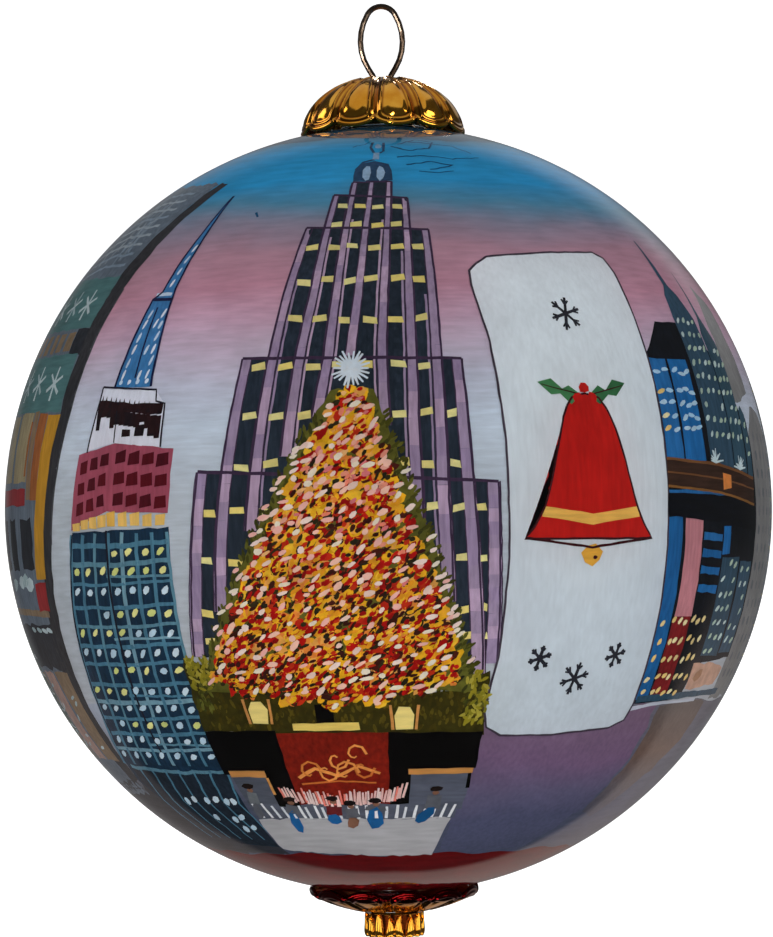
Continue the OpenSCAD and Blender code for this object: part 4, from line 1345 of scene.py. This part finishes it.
def make_bottom_cap():
    """The shallow dish of petals under the ball, with its rim turned up to the glass."""
    low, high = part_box("bottom_cap")
    reach = (high[0] - low[0]) / 2 - 0.15 * MM
    bore_r, dish_r, corner = 2.4 * MM, 19 * MM, 0.7 * MM
    lip_z = high[2] - SHEET / 2

    def dish_z(r):
        return low[2] + dish_r - math.sqrt(dish_r ** 2 - r ** 2)

    flat = [(bore_r + (reach - corner - bore_r) * i / 20,
        dish_z(bore_r + (reach - corner - bore_r) * i / 20)) for i in range(21)]
    bend_z = flat[-1][1] + 0.85 * corner
    bend = [(reach - corner + corner * math.sin(a),
        bend_z - 0.85 * corner * math.cos(a)) for a in [math.pi / 2 * i / 8 for i in range(1, 9)]]
    route = flat + bend + [(reach, lip_z)]
    lengths = [0]
    for a, b in zip(route, route[1:]):
        lengths.append(lengths[-1] + math.dist(a, b))

    def dish(t):
        target = t * lengths[-1]
        for i in range(len(route) - 1):
            if target <= lengths[i + 1]:
                f = (target - lengths[i]) / (lengths[i + 1] - lengths[i])
                (r0, z0), (r1, z1) = route[i], route[i + 1]
                return r0 + (r1 - r0) * f, z0 + (z1 - z0) * f
        return route[-1]

    # The dish's lip is coloured dark red over its last 0.9 mm, fading out by 1.8 mm: a painted reflection of
    # the red band on the glass.
    return stamped("dish_petals", dish, -1, 0.14, 1.2 * MM, rim=0.9 * MM)


def make_finial():
    """The little cup of flame-shaped flutes on the ornament's foot."""
    low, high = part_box("finial")
    full_r, foot, top = (high[0] - low[0]) / 2, low[2], high[2]
    depth = 0.48 * MM
    core = full_r - depth
    rows = 40

    def outline_at(turn):
        flute = turn / 360 * FLUTES
        number, u = int(flute), 2 * (flute % 1) - 1
        lean = 0.3 * math.sin(2.4 * number + 0.7)
        tall = 1 - 0.16 * (number % 2)
        outside = []
        for i in range(1, rows + 1):
            h = i / rows
            z = foot + (top - foot) * h
            wide = (1 - abs(lean) * min(h * 1.6, 1)) * math.sqrt(max(1 - (h / tall) ** 3, 0.01))
            q = (u - lean * math.sin(math.pi * h)) / wide
            swell = math.sqrt(max(1 - q * q, 0))
            drop = min((z - foot) / (0.9 * MM), 1)
            rounding = 0.86 + 0.14 * math.sqrt(1 - (1 - drop) ** 2)
            outside.append(((core + depth * swell * (1 - 0.3 * h)) * rounding,
                z + 0.12 * MM * (1 - h) * u * u, 1 - min(swell * 1.6, 1)))
        collar = [(core + 0.2 * MM, top - 0.02 * MM, 0.6), (core - SHEET, top, 0.6)]
        inside = [(core - SHEET, foot + 2 * SHEET, 0), (core - 2 * SHEET, foot + SHEET, 0),
            (0, foot + SHEET, 0)]
        return [(0, foot + 0.1 * MM, 0), (full_r * 0.5, foot + 0.04 * MM, 0)] + outside + collar + inside

    return revolved("finial_flames", outline_at, 384)


def glint(name, place, size, watts, receivers):
    """A lamp that only the metalwork catches, as it mirrors the room around it."""
    light = area_light(name, place, size, watts, (1, 0.96, 0.88), seen=True)
    light.light_linking.receiver_collection = receivers


def coat_node(node, material):
    """Gives a CAD node its material."""
    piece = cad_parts[node]
    piece.data.materials.clear()
    piece.data.materials.append(material)
    return piece


def make_metalwork():
    """The gold caps, the finial and the wire, and the lamps that only they catch."""
    bright, dull = (242, 180, 70), (220, 150, 46)
    gold = metal("gold_plate", bright, dull, (0.06, 0.18), (1500, 1500, 1500), 0.006 * MM, (122, 52, 18))
    # The dish's dark red is a painted reflection of the red band on the glass above it, also laid at part
    # strength in its lines and valleys.
    red_reflection_gold = metal("gold_painted_red_reflection", bright, dull, (0.06, 0.2), (1500, 1500, 1500), 0.006 * MM, (92, 10, 12))
    wire = metal("wire_plate", (150, 132, 118), (98, 76, 60), (0.14, 0.3), (2600, 2600, 900), 0.01 * MM)
    metalwork = bpy.data.collections.new("metalwork")
    foot = bpy.data.collections.new("foot")
    for make, node, body, finish, lit_with in ((make_top_cap, "top_cap", "cap", gold, metalwork),
            (make_bottom_cap, "bottom_cap", "ball", red_reflection_gold, metalwork),
            (make_finial, "finial", "ball", gold, foot)):
        piece = make()
        piece.data.materials.clear()
        piece.data.materials.append(finish)
        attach(piece, body)
        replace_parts(piece, node)
        lit_with.objects.link(piece)
    loop = bpy.data.collections.new("loop")
    loop.objects.link(coat_node("hanger_wire", wire))
    glint("glint_loop_left", (-0.35, -0.6, 0.0), 0.06, 0.5, loop)
    glint("glint_loop_right", (0.4, -0.55, 0.02), 0.06, 0.5, loop)
    glint("glint_over", (0, 0, 0.6), 0.9, 1.35, metalwork)
    glint("glint_side_left", (-0.55, 0.1, 0.25), 0.3, 0.8, metalwork)
    glint("glint_side_right", (0.5, -0.2, 0.2), 0.24, 0.95, metalwork)
    for turn in (-50, -18, 16, 48):
        a = math.radians(turn)
        glint("glint_low", (0.5 * math.sin(a), -0.5 * math.cos(a), -0.42), 0.11, 0.8, metalwork)
    for turn in (-75, -30, 10, 45, 85):
        a = math.radians(turn)
        glint("glint_foot", (0.5 * math.sin(a), -0.5 * math.cos(a), -0.05), 0.17, 0.26, foot)
        glint("glint_foot_low", (0.3 * math.sin(a + 0.2), -0.3 * math.cos(a + 0.2), -0.4), 0.13, 0.13, foot)
    glint("glint_front", (0.12, -0.7, 0.12), 0.05, 0.25, metalwork)
    glint("glint_back", (0.1, 0.5, 0.3), 0.06, 0.3, metalwork)


def finish_hidden_nodes():
    """Materials for the backing and the cement, which stay the CAD's own shapes."""
    for node, material in (("paint_backing", paint("backing", [(190, 190, 182)], "round", 0.1)),
            ("finial_cement", paint("cement", [(176, 172, 156)], "dab", 0.15))):
        coat_node(node, material)


make_camera()
make_stage()
make_room()
make_glass()
make_metalwork()
finish_hidden_nodes()
paint_sky()
paint_ground()
paint_tower()
paint_wisps()
paint_tree()
paint_rink()
paint_spire_block()
paint_card()
paint_far_right()
paint_street()
paint_far_side()
for picture in PICTURES[1:]:     # the sky comes first and is built already
    picture.build()
